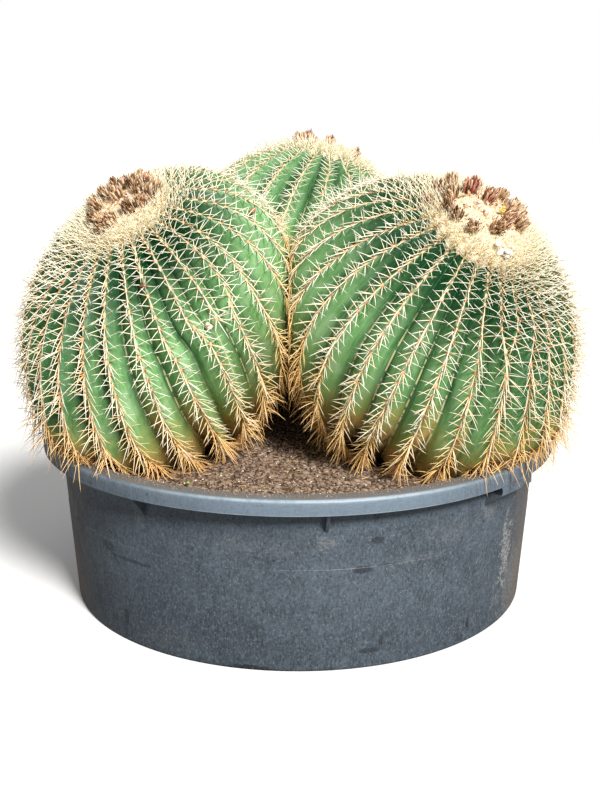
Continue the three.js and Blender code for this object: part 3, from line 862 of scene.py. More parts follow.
@dataclass(frozen=True)
class SoilFinish(Finish):
    """Dry, gritty soil. Stones mark their tone: 0 earth, 0.5 tan stone, 1 white grit."""

    earth: Colour = (0.165, 0.106, 0.072)
    dark: Colour = (0.048, 0.029, 0.019)
    dry: Colour = (0.400, 0.296, 0.220)
    white: Colour = (0.850, 0.820, 0.760)
    marked: bool = False

    def paint(self, graph: Graph) -> dict[str, Any]:
        """Crumbs of three browns with dark pores, and pale grains."""
        place = graph.place()
        distance, colour = graph.cells(place, 330.0)
        shade = graph.add("ShaderNodeSeparateColor", colour).outputs[0]
        crumbs = graph.mix(0.5, graph.noise(place, 60.0, 5.0, 0.7), shade)
        ground = graph.ramp(crumbs, [(0.3, self.dark), (0.5, self.earth), (0.75, self.dry)])
        if self.marked:
            tone, _, random = graph.marks()
            stone = graph.mix(random, self.earth, self.dry)
            ground = graph.ramp(tone, [(0.0, self.earth), (0.5, self.dry), (1.0, self.white)])
            ground = graph.mix(0.35, ground, stone)
        grit = graph.group(Effect.SPECKS, place, 190.0, 0.06)
        relief = graph.math("SUBTRACT", graph.noise(place, 240.0, 5.0, 0.7), distance)
        return {"Base Color": graph.mix(grit, ground, self.white),
                "Normal": graph.bump(relief, 0.8, 0.002)}


@dataclass(frozen=True)
class PlainFinish(Finish):
    """A small piece of one colour that varies gently, such as a leaf or cotton."""

    colour: Colour = (0.5, 0.5, 0.5)
    other: Colour = (0.3, 0.3, 0.3)
    grain: float = 400.0

    def paint(self, graph: Graph) -> dict[str, Any]:
        """Mixes two near colours by noise, with a fine bump."""
        cloud = graph.noise(graph.place(), self.grain, 4.0, 0.6)
        return {"Base Color": graph.mix(graph.band(cloud, 0.35, 0.65), self.colour, self.other),
                "Normal": graph.bump(cloud, 0.5, 0.0008)}


SKIN = SkinFinish("waxy_skin", 0.5, 0.17)
SPINE = SpineFinish("spine", 0.42, 0.4)
FELT = FeltFinish("areole_felt", 0.95, 0.1)
FLOWER = FlowerFinish("dried_flower", 0.85, 0.2)
PLASTIC = TubFinish("dusty_plastic", 0.5, 0.45)
EARTH = SoilFinish("gritty_soil", 0.97, 0.1)
GRIT = SoilFinish("grit", 0.9, 0.2, marked=True)
LEAF = PlainFinish("seedling_leaf", 0.5, 0.4, colour=(0.16, 0.50, 0.05), other=(0.30, 0.62, 0.10))
COTTON = PlainFinish("seed_cotton", 0.95, 0.1, colour=(0.95, 0.93, 0.90), other=(0.86, 0.82, 0.76))
PETAL = PlainFinish("old_petal", 0.9, 0.1, colour=(0.93, 0.78, 0.66), other=(0.74, 0.50, 0.38))
FRESH_PETAL = PlainFinish("fresh_petal", 0.8, 0.2, colour=(0.95, 0.68, 0.12),
                          other=(0.90, 0.52, 0.10))


# ------------------------------------------------------------------ tub


@dataclass
class Tub:
    """The moulded tub: wall, flat base, lip with a skirt, rim plates and two closed grips."""

    base_radius: float = 378.0
    corner: float = 5.0
    flare: float = 0.07
    wall: float = 6.0
    floor: float = 7.0
    rim_radius: float = 425.0
    rim_top: float = 280.5
    lip: float = 5.5
    lip_root: float = 4.0
    mouth: float = 396.0
    rim_rounding: float = 8.0
    skirt_bottom: float = 256.6
    skirt: float = 4.3
    lines: tuple[float, float] = (163.0, 229.0)
    line_step: float = 0.5
    segments: int = 288
    plates: tuple[float, ...] = (-34.7, 5.9, 101.5, 145.3, 185.9, 281.5)
    plate_width: float = 4.6
    plate_bottom: float = 220.0
    plate_bevel: float = 0.8
    root: float = 1.5
    grips: tuple[float, ...] = (45.2, 225.2)
    grip_sweep: float = 12.0
    grip_edge: float = 243.0
    grip_bottom: float = 220.0
    grip_inset: float = 1.4

    def radius(self, height: float) -> float:
        """Returns the wall's outer radius at a height."""
        return self.base_radius + self.flare * height

    def rounded(self, corners: Sequence[Triple], steps: int) -> Array:
        """Rounds the corners of an outline.

        A rounded corner is the parabola a(1-t)^2 + 2bt(1-t) + ct^2 between points that lie
        its radius before and after the corner b.

        Args:
            corners: Radius, height and rounding of each corner, in order.
            steps: Points on each rounding, less one.

        Returns:
            The outline as (n, 2) radii and heights.
        """
        plain = np.array([c[:2] for c in corners])
        t = np.linspace(0.0, 1.0, steps + 1)[:, None]
        out = [plain[:1]]
        for i in range(1, len(corners) - 1):
            reach = corners[i][2]
            before = plain[i] + reach * unit(plain[i - 1] - plain[i])
            after = plain[i] + reach * unit(plain[i + 1] - plain[i])
            out.append((1 - t) ** 2 * before + 2 * t * (1 - t) * plain[i] + t**2 * after)
        return np.concatenate([*out, plain[-1:]])

    def shell(self) -> Patch:
        """Turns the tub's section round its axis; a faint step marks each moulding line."""
        under, inside = self.rim_top - self.lip, self.rim_radius - self.skirt
        lip_root, step = under - self.lip_root, self.line_step
        inner = self.radius(lip_root) - self.wall
        low, high = self.lines
        outline = self.rounded([
            (0, 0, 0), (self.radius(0), 0, self.corner),
            (self.radius(low), low, 0.4), (self.radius(low) - step, low + step, 0.4),
            (self.radius(high) - step, high, 0.4), (self.radius(high), high + step, 0.4),
            (self.radius(under), under, 3.0), (inside, under, 2.0),
            (inside, self.skirt_bottom, 0.9), (self.rim_radius, self.skirt_bottom, 1.2),
            (self.rim_radius, self.rim_top, self.rim_rounding),
            (self.mouth, self.rim_top, 1.8), (inner, lip_root, 2.0),
            (self.radius(self.floor) - self.wall, self.floor, 3.0), (0, self.floor, 0)], 5)
        outline[:, 0] = np.maximum(outline[:, 0], 0.0)
        angle = np.arange(self.segments) * 360.0 / self.segments
        ring = outwards(angle)[None] * outline[1:-1, 0][:, None, None]
        ring[..., 2] = outline[1:-1, 1][:, None]
        ends = np.array([[0, 0, outline[0, 1]], [0, 0, outline[-1, 1]]])
        return Patch(np.concatenate([ring.reshape(-1, 3), ends]),
                     *closed_faces(len(outline) - 2, self.segments, False))

    def sector(self, section: Array, start: float, sweep: float, steps: int) -> Patch:
        """Carries a convex section of radii and heights round part of a circle.

        Args:
            section: (n, 2) corners, anticlockwise with radius to the right and height up.
            start: First angle in degrees.
            sweep: Angle that it covers.
            steps: Number of steps.

        Returns:
            The closed block.
        """
        angle = start + sweep * np.linspace(0.0, 1.0, steps + 1)
        ring = outwards(angle)[:, None] * section[None, :, :1]
        ring[..., 2] = section[None, :, 1]
        n = len(section)
        i = np.arange(1, n - 1)
        first = np.stack([np.zeros_like(i), i, i + 1], -1)
        last = steps * n + first[:, ::-1]
        quads = grid_quads(steps + 1, n, True)[:, ::-1]
        return Patch(ring.reshape(-1, 3), quads, np.concatenate([first, last]))

    def fittings(self) -> Sheaf:
        """Builds the plates and the grips under the rim."""
        under, inside = self.rim_top - self.lip, self.rim_radius - self.skirt / 2
        sheaf = Sheaf()
        plate = np.array([
            (self.radius(self.plate_bottom) - self.root, self.plate_bottom),
            (inside, self.skirt_bottom + 1.0), (inside, under + self.root),
            (self.radius(under) - self.root, under + self.root)])
        sweep = math.degrees(self.plate_width / self.radius(self.plate_bottom))
        for angle in self.plates:
            sheaf.add(self.sector(plate, angle - sweep / 2, sweep, 1))
        face = self.rim_radius - self.grip_inset
        grip = np.array([
            (self.radius(self.grip_bottom) - self.root, self.grip_bottom),
            (face, self.grip_edge), (face, under + self.root),
            (self.radius(under) - self.root, under + self.root)])
        for angle in self.grips:
            sheaf.add(self.sector(grip, angle, self.grip_sweep, 28))
        return sheaf

    def build(self) -> None:
        """Makes the tub's two pieces."""
        Sheaf(self.shell()).make("tub_shell", PLASTIC, "tub_plastic", ["tub"])
        fittings = self.fittings().make("tub_rim_plates", PLASTIC, "tub_plastic")
        faces = fittings.data.polygons
        faces.foreach_set("use_smooth", np.zeros(len(faces), bool))
        bevel = fittings.modifiers.new("soft_edges", "BEVEL")
        bevel.width, bevel.segments, bevel.limit_method = self.plate_bevel * METRES, 2, "ANGLE"
        bevel.angle_limit = math.radians(25)
        bevel.harden_normals = False


# ------------------------------------------------------------------ heads


@dataclass(frozen=True)
class ExtraRib:
    """A rib that exists only above a latitude: it dies out in a valley or joins its neighbour."""

    after: int
    ends_at: float
    fades_over: float
    joins: bool = False


@dataclass
class HeadForm:
    """The form of one head, the same as in the part's source.

    A direction on a ball is tilted by a lean that changes from the foot to the crown, then
    stretched to the head's radius, rise and drop, made fuller low down on its outer side by
    the hip, skewed back from its heading, flattened near the crown, and pressed off the other
    heads and the tub's rim.
    """

    centre: Triple
    radius: float
    rise: float
    drop: float
    heading: float
    crown_lean: float
    foot_lean: float
    skew: float
    flatness: float
    ribs: int
    turn: float
    hip: float
    extra: ExtraRib | None = None
    seed: int = 1
    fences: list[tuple[Array, float]] = field(default_factory=list)

    root_lean: float = 20.0
    root_below: float = -35.0
    crown_fall: float = 42.0
    rib_depth: float = 27.0
    rib_narrowing: float = 1.3
    wobble: float = 0.55
    hip_side: Span = (-0.3, 0.7)
    hip_low: Span = (0.35, 0.8)
    fence_margin: float = 2.0
    softness: float = 4.0
    mouth: float = 388.0
    mouth_height: float = 283.0
    mouth_opening: float = 2.4

    def meet(self, others: Sequence["HeadForm"]) -> None:
        """Sets the upright planes between this head and the others."""
        for other in others:
            if other is self:
                continue
            away = np.array(other.centre) - np.array(self.centre)
            away[2] = 0.0
            at = np.array(self.centre) + away * self.radius / (self.radius + other.radius)
            away = unit(away)
            self.fences.append((away, float(at @ away)))

    def press(self, points: Array, margin: float, softness: float) -> Array:
        """Moves points back behind the fences, easing them over the softness."""
        for away, reach in self.fences:
            past = points @ away - reach + margin
            points = points + (below_zero(past, softness) - past)[..., None] * away
        return points

    def inside_mouth(self, points: Array) -> Array:
        """Draws points in behind the tub's mouth, which opens above the lip."""
        across = np.hypot(points[..., 0], points[..., 1])
        above = np.maximum(0.0, points[..., 2] - self.mouth_height)
        past = across - (self.mouth + self.mouth_opening * above)
        shrink = (across + below_zero(past, self.softness) - past) / across
        return points * np.stack([shrink, shrink, np.ones_like(shrink)], -1)

    def tilted(self, ball: Array, latitude: Array) -> Array:
        """Turns directions on a ball forward, by a lean that changes with the latitude."""
        lean = self.foot_lean + (self.crown_lean - self.foot_lean) * (latitude + 90) / 180
        turned = ease(self.root_below - latitude, 0, self.root_below + 90)
        lean = np.radians(lean + (self.root_lean - lean) * turned)[..., None]
        axis = outwards(self.heading + 90.0)
        return (ball * np.cos(lean) + np.cross(axis, ball) * np.sin(lean)
                + axis * (ball @ axis)[..., None] * (1 - np.cos(lean)))

    def place(self, latitude: Array, longitude: Array, proud: Array | float = 0.0) -> Array:
        """Returns points of the head.

        Args:
            latitude: Degrees, 90 at the crown.
            longitude: Degrees, 0 at the front.
            proud: Height above the smooth form.

        Returns:
            Points in millimetres, with the shape of the inputs and a last axis of three.
        """
        latitude, longitude, proud = np.broadcast_arrays(latitude, longitude, proud)
        lat, lon = np.radians(latitude), np.radians(longitude)
        ball = np.stack([np.cos(lat) * np.sin(lon), -np.cos(lat) * np.cos(lon), np.sin(lat)], -1)
        out, forward = self.tilted(ball, latitude), outwards(self.heading)
        tall = np.where(out[..., 2] > 0, self.rise, self.drop)
        level = np.maximum(np.hypot(out[..., 0], out[..., 1]), 1e-9)
        toward = out[..., :2] @ unit(np.array(self.centre[:2])) / level
        fuller = self.hip * ease(toward, *self.hip_side) * ease(-out[..., 2], *self.hip_low)
        wide = self.radius * (1 + fuller)
        stretched = out * np.stack([wide, wide, tall], -1)
        stretched = stretched - self.skew * self.radius * out[..., 2:] * forward
        flatter = 1 - self.flatness * np.exp(-(((90 - latitude) / self.crown_fall) ** 2))
        points = stretched * flatter[..., None] + out * proud[..., None] + np.array(self.centre)
        return self.inside_mouth(self.press(points, self.fence_margin, self.softness))

    def depth(self, latitude: Array) -> Array:
        """Returns how deep the valleys are at a latitude."""
        return self.rib_depth * np.cos(np.radians(latitude)) ** self.rib_narrowing

    @cached_property
    def rib_shades(self) -> Array:
        """One random number for each rib."""
        count = self.ribs + (1 if self.extra else 0)
        return np.random.default_rng(self.seed).uniform(0, 1, count)

    def crests(self, latitude: Array) -> tuple[Array, Array, Array]:
        """Works out the crest lines.

        An extra rib pushes its neighbours aside by a third of a rib, less further away. Where
        it ends, it sinks into the valley, or its crest runs into the one before it.

        Args:
            latitude: Row latitudes in degrees.

        Returns:
            Longitudes, crest heights, and how open the gap after each crest is, all (ribs, rows).
        """
        index = np.arange(self.ribs, dtype=float)[:, None]
        pitch = 360.0 / self.ribs
        phase = 2 * np.pi * self.rib_shades[: self.ribs, None]
        sway = self.wobble * np.sin(np.radians(latitude)[None] * 2.3 + phase)
        lon = self.turn + index * pitch + sway
        high, gap = np.zeros_like(lon), np.ones_like(lon)
        if self.extra is None:
            return lon, high, gap
        rib = self.extra
        share = ease(latitude, rib.ends_at, rib.ends_at + rib.fades_over)[None]
        offset = index - (rib.after + 0.5)
        offset = (offset + self.ribs / 2) % self.ribs - self.ribs / 2
        lon = lon + 0.33 * pitch * np.sign(offset) * np.exp((0.5 - np.abs(offset)) / 1.1) * share
        before, behind = lon[rib.after], lon[(rib.after + 1) % self.ribs]
        behind = np.where(behind < before, behind + 360, behind)
        at = 0.05 + 0.45 * share[0] if rib.joins else 0.5
        born = before + (behind - before) * at
        sunk = np.zeros_like(born) if rib.joins else -self.depth(latitude) * (1 - share[0])
        after = rib.after + 1
        lon, high = np.insert(lon, after, born, 0), np.insert(high, after, sunk, 0)
        gap = np.insert(gap, after, np.ones_like(born), 0)
        gap[rib.after] = share[0]
        if not rib.joins:
            gap[after] = share[0]
        return lon, high, gap

    @cached_property
    def has_crest_from(self) -> Array:
        """The lowest latitude at which each rib has areoles of its own."""
        low = np.full(self.ribs, -90.0)
        if self.extra is None:
            return low
        start = self.extra.ends_at + 0.4 * self.extra.fades_over
        return np.insert(low, self.extra.after + 1, start)


@dataclass
class Areoles:
    """The spine clusters of a head: places, directions and ages."""

    at: Array
    up: Array
    right: Array
    out: Array
    polar: Array
    age: Array
    low: Array


@dataclass(frozen=True)
class SpinePlan:
    """The spines of one areole.

    Each is an azimuth (degrees, 0 towards the foot, 90 to the right), an elevation above the
    skin, a length, and the share of areoles that have it. The last four are what each zone of
    a head adds to a spine: young, high up, far out, shaded and low.
    """

    spines: tuple[tuple[float, float, float, float], ...]
    thickness: float
    sag: float
    steps: tuple[float, ...]
    sides: int = 4
    taper: float = 0.55
    longer: tuple[float, ...] = (0.0, -0.05, 0.38, 0.0, 0.0)
    thicker: tuple[float, ...] = (-0.14, -0.06, 0.0, -0.24, -0.12)
    older: tuple[float, ...] = (0.0, 0.0, 0.12, 0.0, 0.0)
    commoner: tuple[float, ...] = (0.0, 0.0, 0.0, -0.16, 0.0)


SIDE_SPINES = SpinePlan(
    ((50, 19, 26, 1.0), (-50, 19, 26, 1.0), (107, 18, 23, 1.0), (-107, 18, 23, 1.0),
     (78, 34, 24, 0.12), (-78, 34, 24, 0.12), (150, 28, 14, 0.35), (-150, 28, 14, 0.35)),
    0.82, 0.05, (0.0, 0.35, 0.7))
MAIN_SPINES = SpinePlan(
    ((0, 15, 32, 1.0), (178, 62, 33, 0.5), (40, 48, 34, 0.28), (-40, 48, 34, 0.28),
     (90, 60, 30, 0.06), (-90, 60, 30, 0.06)),
    0.95, 0.10, (0.0, 0.3, 0.6, 0.85))


# Dried flowers: degrees from the crown, longitude, and tone (0 brown, 0.5 tan, 1 red).
LEFT_FLOWERS = (
    (11.9, -102, 0.45), (15.9, -145, 0.30), (16.2, -166, 0.15), (21.5, -180, 0.35),
    (11.2, 154, 0.20), (20.8, 160, 0.30), (15.7, 131, 0.45), (13.7, 80, 0.10),
    (10.4, 32, 0.15), (12.4, 55, 0.50), (15.2, -31, 0.15), (13.0, -15, 0.60),
    (13.7, -64, 0.20), (4.5, -150, 0.35), (16.5, 104, 0.25), (16.8, -122, 0.40),
    (10.0, -178, 0.30), (9.0, 116, 0.15))
RIGHT_FLOWERS = (
    (15.9, -122, 0.35), (17.7, -95, 0.30), (11.7, -80, 0.10), (10.2, -56, 0.15),
    (9.5, -153, 0.95), (20.6, 178, 0.30), (7.7, 168, 0.90), (21.4, 156, 0.20), (15.1, 150, 0.40),
    (8.7, 111, 0.60), (12.2, 92, 0.25), (7.5, 33, 0.35), (21.3, 134, 0.30), (9.7, -20, 0.20),
    (16.0, -145, 0.35), (14.0, -172, 0.85), (15.5, 115, 0.40), (10.5, -108, 0.20),
    (7.0, 65, 0.70), (13.5, 128, 0.35))
BACK_FLOWERS = (
    (16.9, -57, 0.50), (13.7, -48, 0.55), (9.5, -6, 0.50), (16.2, 46, 0.50), (11.5, 108, 0.35),
    (15.5, 132, 0.45), (11.0, 160, 0.50), (15.0, -170, 0.40), (10.5, -140, 0.45),
    (14.5, -112, 0.35), (10.0, -88, 0.50))
# Dried bits on the skin: latitude, longitude, size, tone and shade as in the flowers' finish.
LEFT_BITS = ((21.7, 34.3, 4.2, 0.6, 0.1), (47.3, 14.8, 3.4, 0.0, 0.75),
             (29.4, 92.4, 4.0, 0.9, 0.5))
RIGHT_BITS = ((5.8, 34.8, 2.4, 0.5, 0.1), (5.0, 36.5, 2.0, 0.1, 0.75), (66.8, 18.4, 4.4, 0.1, 0.7),
              (67.6, 20.6, 3.8, 0.5, 0.2), (65.8, 19.5, 3.4, 0.2, 0.5))

# Soft lumps on a crown: finish, degrees from the crown, longitude, size, height.
LEFT_LUMPS = ((PETAL, 5.9, 24, 5.0, 3), (PETAL, 10.6, 71, 5.0, 7), (PETAL, 3.5, 110, 3.5, 3))
RIGHT_LUMPS = ((COTTON, 15.5, 21, 9.0, 3), (COTTON, 13.5, 148, 4.0, 16), (COTTON, 5.4, 21, 3.2, 6),
               (PETAL, 3.7, -88, 6.0, 3), (PETAL, 2.8, -42, 5.0, 3),
               (FRESH_PETAL, 3.4, 104, 3.4, 11))


@dataclass
class CactusHead:
    """One head: its ribbed skin, felt, spines, woolly crown and dried flowers.

    The ring of flowers has a scale, and is shifted to the right and to the front in degrees.
    Zones are spans of degrees from the crown, of millimetres from the tub's axis (outer), or
    of millimetres to the left of it (shaded). Rows and areoles lie between two latitudes.
    Lengths and girths are the spans that random sizes are drawn from.
    """

    name: str
    form: HeadForm
    flower_spots: Sequence[Triple]
    bits: Sequence[tuple[float, float, float, float, float]] = ()
    lumps: Sequence[tuple[PlainFinish, float, float, float, float]] = ()
    ring: Triple = (1.0, 0.0, 0.0)
    rows: int = 196
    row_ends: Span = (89.2, -88.5)
    areole_ends: Span = (79.0, -72.0)
    across: tuple[float, ...] = (0.0, 0.03, 0.075, 0.14, 0.22, 0.31, 0.40, 0.46, 0.5,
                                 0.54, 0.60, 0.69, 0.78, 0.86, 0.925, 0.97)
    crest_swell: float = 0.55
    flank_wave: float = 0.9
    crown_dip: float = 8.0
    crown_zone: Span = (11, 19)
    pitch: float = 16.5
    soil_top: float = 262.0
    low_reach: float = 72.0
    shelter_reach: float = 45.0
    lip: Span = (393.0, 429.0)
    lip_top: float = 281.8
    young_zone: Span = (14, 34)
    upper_zone: Span = (24, 62)
    outer_zone: Span = (385, 445)
    shaded_zone: Span = (340, 430)
    spine_foot: Span = (1.2, 2.6)
    felt_size: Triple = (4.8, 2.5, 1.5)
    felt_sides: int = 7
    wool_reach: float = 22.0
    wool_sole: float = -14.0
    hairs: int = 5200
    hair_reach: float = 23.5
    hair_length: Span = (4.5, 9.5)
    hair_girth: Span = (0.28, 0.5)
    scales: int = 56
    scale_length: float = 27.0
    scale_girth: Span = (1.5, 3.0)
    flower_radius: float = 7.4
    flower_root: float = -3.0
    bulb: Span = (16.0, 7.6)
    chaff_each: int = 15
    chaff_length: Span = (5, 11)
    chaff_girth: Span = (1.1, 2.4)

    def __post_init__(self) -> None:
        """Seeds the head's randomness."""
        self.random = np.random.default_rng(self.form.seed)

    @cached_property
    def flower_roots(self) -> tuple[Array, Array, Array]:
        """The flowers' angles from the crown, longitudes and tones, with the ring in its place."""
        angle, longitude, tone = np.array(self.flower_spots).T
        scale, right, front = self.ring
        x = scale * angle * np.sin(np.radians(longitude)) + right
        y = scale * angle * np.cos(np.radians(longitude)) + front
        return np.hypot(x, y), np.degrees(np.arctan2(x, y)), tone

    def keep_clear(self, points: Array) -> Array:
        """Keeps spines on their side of the fences and above the soil and the rim."""
        points = self.form.press(points, 0.4, 1.0)
        across = np.hypot(points[..., 0], points[..., 1])
        lip = np.where(across < self.lip[1], self.lip_top, 0.0)
        ground = np.where(across < self.lip[0], self.soil_top + 1.0, lip)
        points[..., 2] = np.maximum(points[..., 2], ground)
        return points

    def counts(self, latitude: Array, lon: Array) -> Array:
        """Returns how many areoles lie between the crown and each row, along each rib."""
        line = self.form.place(latitude[None], lon)
        steps = np.linalg.norm(np.diff(line, axis=1), axis=-1)
        polar = 90 - (latitude[1:] + latitude[:-1]) / 2
        pitch = self.pitch * np.clip(0.42 + 0.58 * (polar - 14) / 30, 0.42, 1.0)
        return np.concatenate([np.zeros((len(lon), 1)), np.cumsum(steps / pitch[None], 1)], 1)

    def relief(self, latitude: Array, t: Array, s: Array) -> tuple[Array, Array]:
        """Works out the ribbed surface.

        Between two crests the height is the blend of the crests' heights less the valley's
        depth times s^1.3. The crest swells a little between areoles, and slow waves make the
        flanks uneven.

        Args:
            latitude: Latitudes of the rows.
            t: Places of the columns between two crests, from 0 to 1.
            s: The same, from 0 on a crest to 1 in the valley.

        Returns:
            Longitudes and heights, both (columns, rows).
        """
        form = self.form
        lon, high, gap = form.crests(latitude)
        nxt = np.roll(lon, -1, 0)
        nxt[-1] += 360.0
        blend = t[None, :, None]
        longitude = lon[:, None] * (1 - blend) + nxt[:, None] * blend
        height = high[:, None] * (1 - blend) + np.roll(high, -1, 0)[:, None] * blend
        height = height - form.depth(latitude) * gap[:, None] * (s**1.3)[None, :, None]
        swell = self.crest_swell * (1 - np.cos(2 * np.pi * self.counts(latitude, lon)))[:, None]
        height = height + swell * np.clip(1 - 4 * s, 0, 1)[None, :, None]
        waves = np.sin(latitude * 0.21 + 1.7 * np.arange(len(lon))[:, None])[:, None]
        height = height + self.flank_wave * waves * np.sin(np.pi * s)[None, :, None]
        height = height - self.crown_dip * (1 - ease(90 - latitude, *self.crown_zone))
        flat = (-1, len(latitude))
        return longitude.reshape(flat), height.reshape(flat)

    def skin(self) -> Patch:
        """Builds the closed ribbed surface, with marks and a UV map in metres."""
        form, shades = self.form, self.form.rib_shades
        latitude, t = np.linspace(*self.row_ends, self.rows), np.array(self.across)
        s = 1 - np.abs(2 * t - 1)
        points = form.place(latitude[None], *self.relief(latitude, t, s)).transpose(1, 0, 2)
        columns, ribs = points.shape[1], len(shades)
        arc = np.linalg.norm(np.diff(points[:, 0], axis=0), axis=-1)
        arc = np.concatenate([[0.0], np.cumsum(arc)])
        rib = (shades[:, None] * (1 - t) + np.roll(shades, -1)[:, None] * t).ravel()
        marks = marks_of(np.tile(s, ribs)[None], (arc / arc[-1])[:, None], rib[None])
        u = np.append((np.arange(ribs)[:, None] + t).ravel(), ribs) * RIB_MAP
        row, column = np.divmod(np.arange((self.rows - 1) * columns), columns)
        corner_row = np.stack([row + 1, row + 1, row, row], -1)
        corner_column = np.stack([column, column + 1, column + 1, column], -1)
        uv = np.stack([u[corner_column], arc[corner_row] * METRES], -1)
        ends = form.place(np.array([90.0, -90.0]), np.zeros(2), np.array([-self.crown_dip, 0.0]))
        caps = np.array([[0.5, 0.0, 0.5], [0.5, 1.0, 0.5]])
        return Patch(np.concatenate([points.reshape(-1, 3), ends]),
                     *closed_faces(self.rows, columns),
                     np.concatenate([marks.reshape(-1, 3), caps]), uv)

    @cached_property
    def areoles(self) -> Areoles:
        """Places the spine clusters where the counts along each rib pass a whole number."""
        form = self.form
        latitude = np.linspace(*self.areole_ends, 400)
        lon, _, _ = form.crests(latitude)
        counts = self.counts(latitude, lon)
        lats, lons = [], []
        for rib in range(len(lon)):
            wanted = np.arange(1, int(counts[rib, -1])) + 0.0
            lat = np.interp(wanted, counts[rib], latitude)
            keep = lat > form.has_crest_from[rib]
            lats.append(lat[keep])
            lons.append(np.interp(-lat[keep], -latitude, lon[rib]))
        lat, lon = np.concatenate(lats), np.concatenate(lons)
        at = form.place(lat, lon, 1.0)
        up = unit(form.place(lat + 0.6, lon) - form.place(lat - 0.6, lon))
        aside = form.place(lat, lon + 0.6) - form.place(lat, lon - 0.6)
        right = unit(aside - up * np.sum(aside * up, -1, keepdims=True))
        above = at[:, 2] > self.soil_top + 3.0
        low = np.exp(-np.maximum(at[:, 2] - self.soil_top, 0) / self.low_reach)
        near = np.max([at @ away - reach for away, reach in form.fences], 0)
        sheltered = np.exp(-np.maximum(-near, 0) / self.shelter_reach)
        polar = 90 - lat
        below = np.clip(low + 0.8 * sheltered * ease(polar, 60, 100), 0, 1)
        age = 0.40 * ease(polar, 10, 45) + 0.60 * below
        rows = [x[above] for x in (at, up, right, np.cross(right, up), polar, age, below)]
        return Areoles(*rows)

    @cached_property
    def zones(self) -> tuple[Array, ...]:
        """How young, high up, far out, shaded and low each areole is, from 0 to 1."""
        spots = self.areoles
        across = np.hypot(spots.at[:, 0], spots.at[:, 1])
        parts = (1 - ease(spots.polar, *self.young_zone), 1 - ease(spots.polar, *self.upper_zone),
                 ease(across, *self.outer_zone), ease(-spots.at[:, 0], *self.shaded_zone),
                 spots.low)
        return tuple(part[:, None] for part in parts)

    def by_zone(self, shares: Sequence[float]) -> Array:
        """Returns 1 plus what the zones of each areole add, given what each zone adds."""
        return 1 + sum(share * zone for share, zone in zip(shares, self.zones))

    def angles(self, azimuth: Array, elevation: Array) -> tuple[Array, Array]:
        """Varies the planned angles: spines near the crown stand up, and low ones sprawl.

        Args:
            azimuth: Planned azimuths in degrees, one row for all areoles.
            elevation: Planned elevations.

        Returns:
            Azimuths and elevations in radians, one row for each areole.
        """
        young, upper, outer, _, low = self.zones
        shape = (len(low), azimuth.size)
        az = azimuth * (1 - 0.15 * low) + self.random.normal(0, 1, shape) * (5 + 12 * low)
        el = elevation * (1 - young) + (48 + 0.45 * elevation) * young + 14 * low
        el = el + 22 * upper * (1 - young) + 8 * outer
        el = el + self.random.normal(0, 1, shape) * (4 + 10 * low)
        return np.radians(az), np.radians(el)

    def spray(self, plan: SpinePlan) -> Patch:
        """Grows the planned spines from every areole: low ones are longer and hang down.

        Args:
            plan: Directions, lengths and shares of the spines of one areole.

        Returns:
            One patch.
        """
        spots, random = self.areoles, self.random
        azimuth, elevation, length, share = np.array(plan.spines).T
        count, each = len(spots.at), len(azimuth)
        young, upper, _, _, low = self.zones
        az, el = self.angles(azimuth[None], elevation[None])
        level = (-spots.up[:, None] * np.cos(az)[..., None]
                 + spots.right[:, None] * np.sin(az)[..., None])
        along = level * np.cos(el)[..., None] + spots.out[:, None] * np.sin(el)[..., None]
        hang = np.array([0.0, 0.0, -1.0]) * (0.30 * low)[..., None]
        bend = (-spots.out[:, None] * plan.sag - spots.up[:, None] * plan.sag * 0.7 + hang
                + random.normal(0, 0.03, (count, each, 3)))
        size = length[None] * random.uniform(0.84, 1.1, (count, each)) * (1 + 0.45 * low)
        size = size * self.by_zone(plan.longer)
        wide, tall = self.spine_foot
        base = spots.at[:, None] + spots.right[:, None] * (wide * np.sin(az))[..., None]
        base = base - spots.up[:, None] * (tall * np.cos(az))[..., None]
        shade = random.uniform(0, 1, (count, each))
        age = np.broadcast_to(spots.age[:, None] * self.by_zone(plan.older), shade.shape)
        girth = plan.thickness * random.uniform(0.85, 1.15, shade.shape)
        girth = girth * self.by_zone(plan.thicker)
        crowded = np.maximum(0.40 * low, 0.55 * young)
        share = share[None] * (1 - 0.18 * upper * (1 - young)) + (1 - share[None]) * crowded
        grown = random.uniform(0, 1, shade.shape) < share * self.by_zone(plan.commoner)
        parts = [x[grown] for x in (base, along, bend, size, girth, age, shade)]
        return Needles(*parts, plan.steps, plan.sides, plan.taper).patch(self.keep_clear)

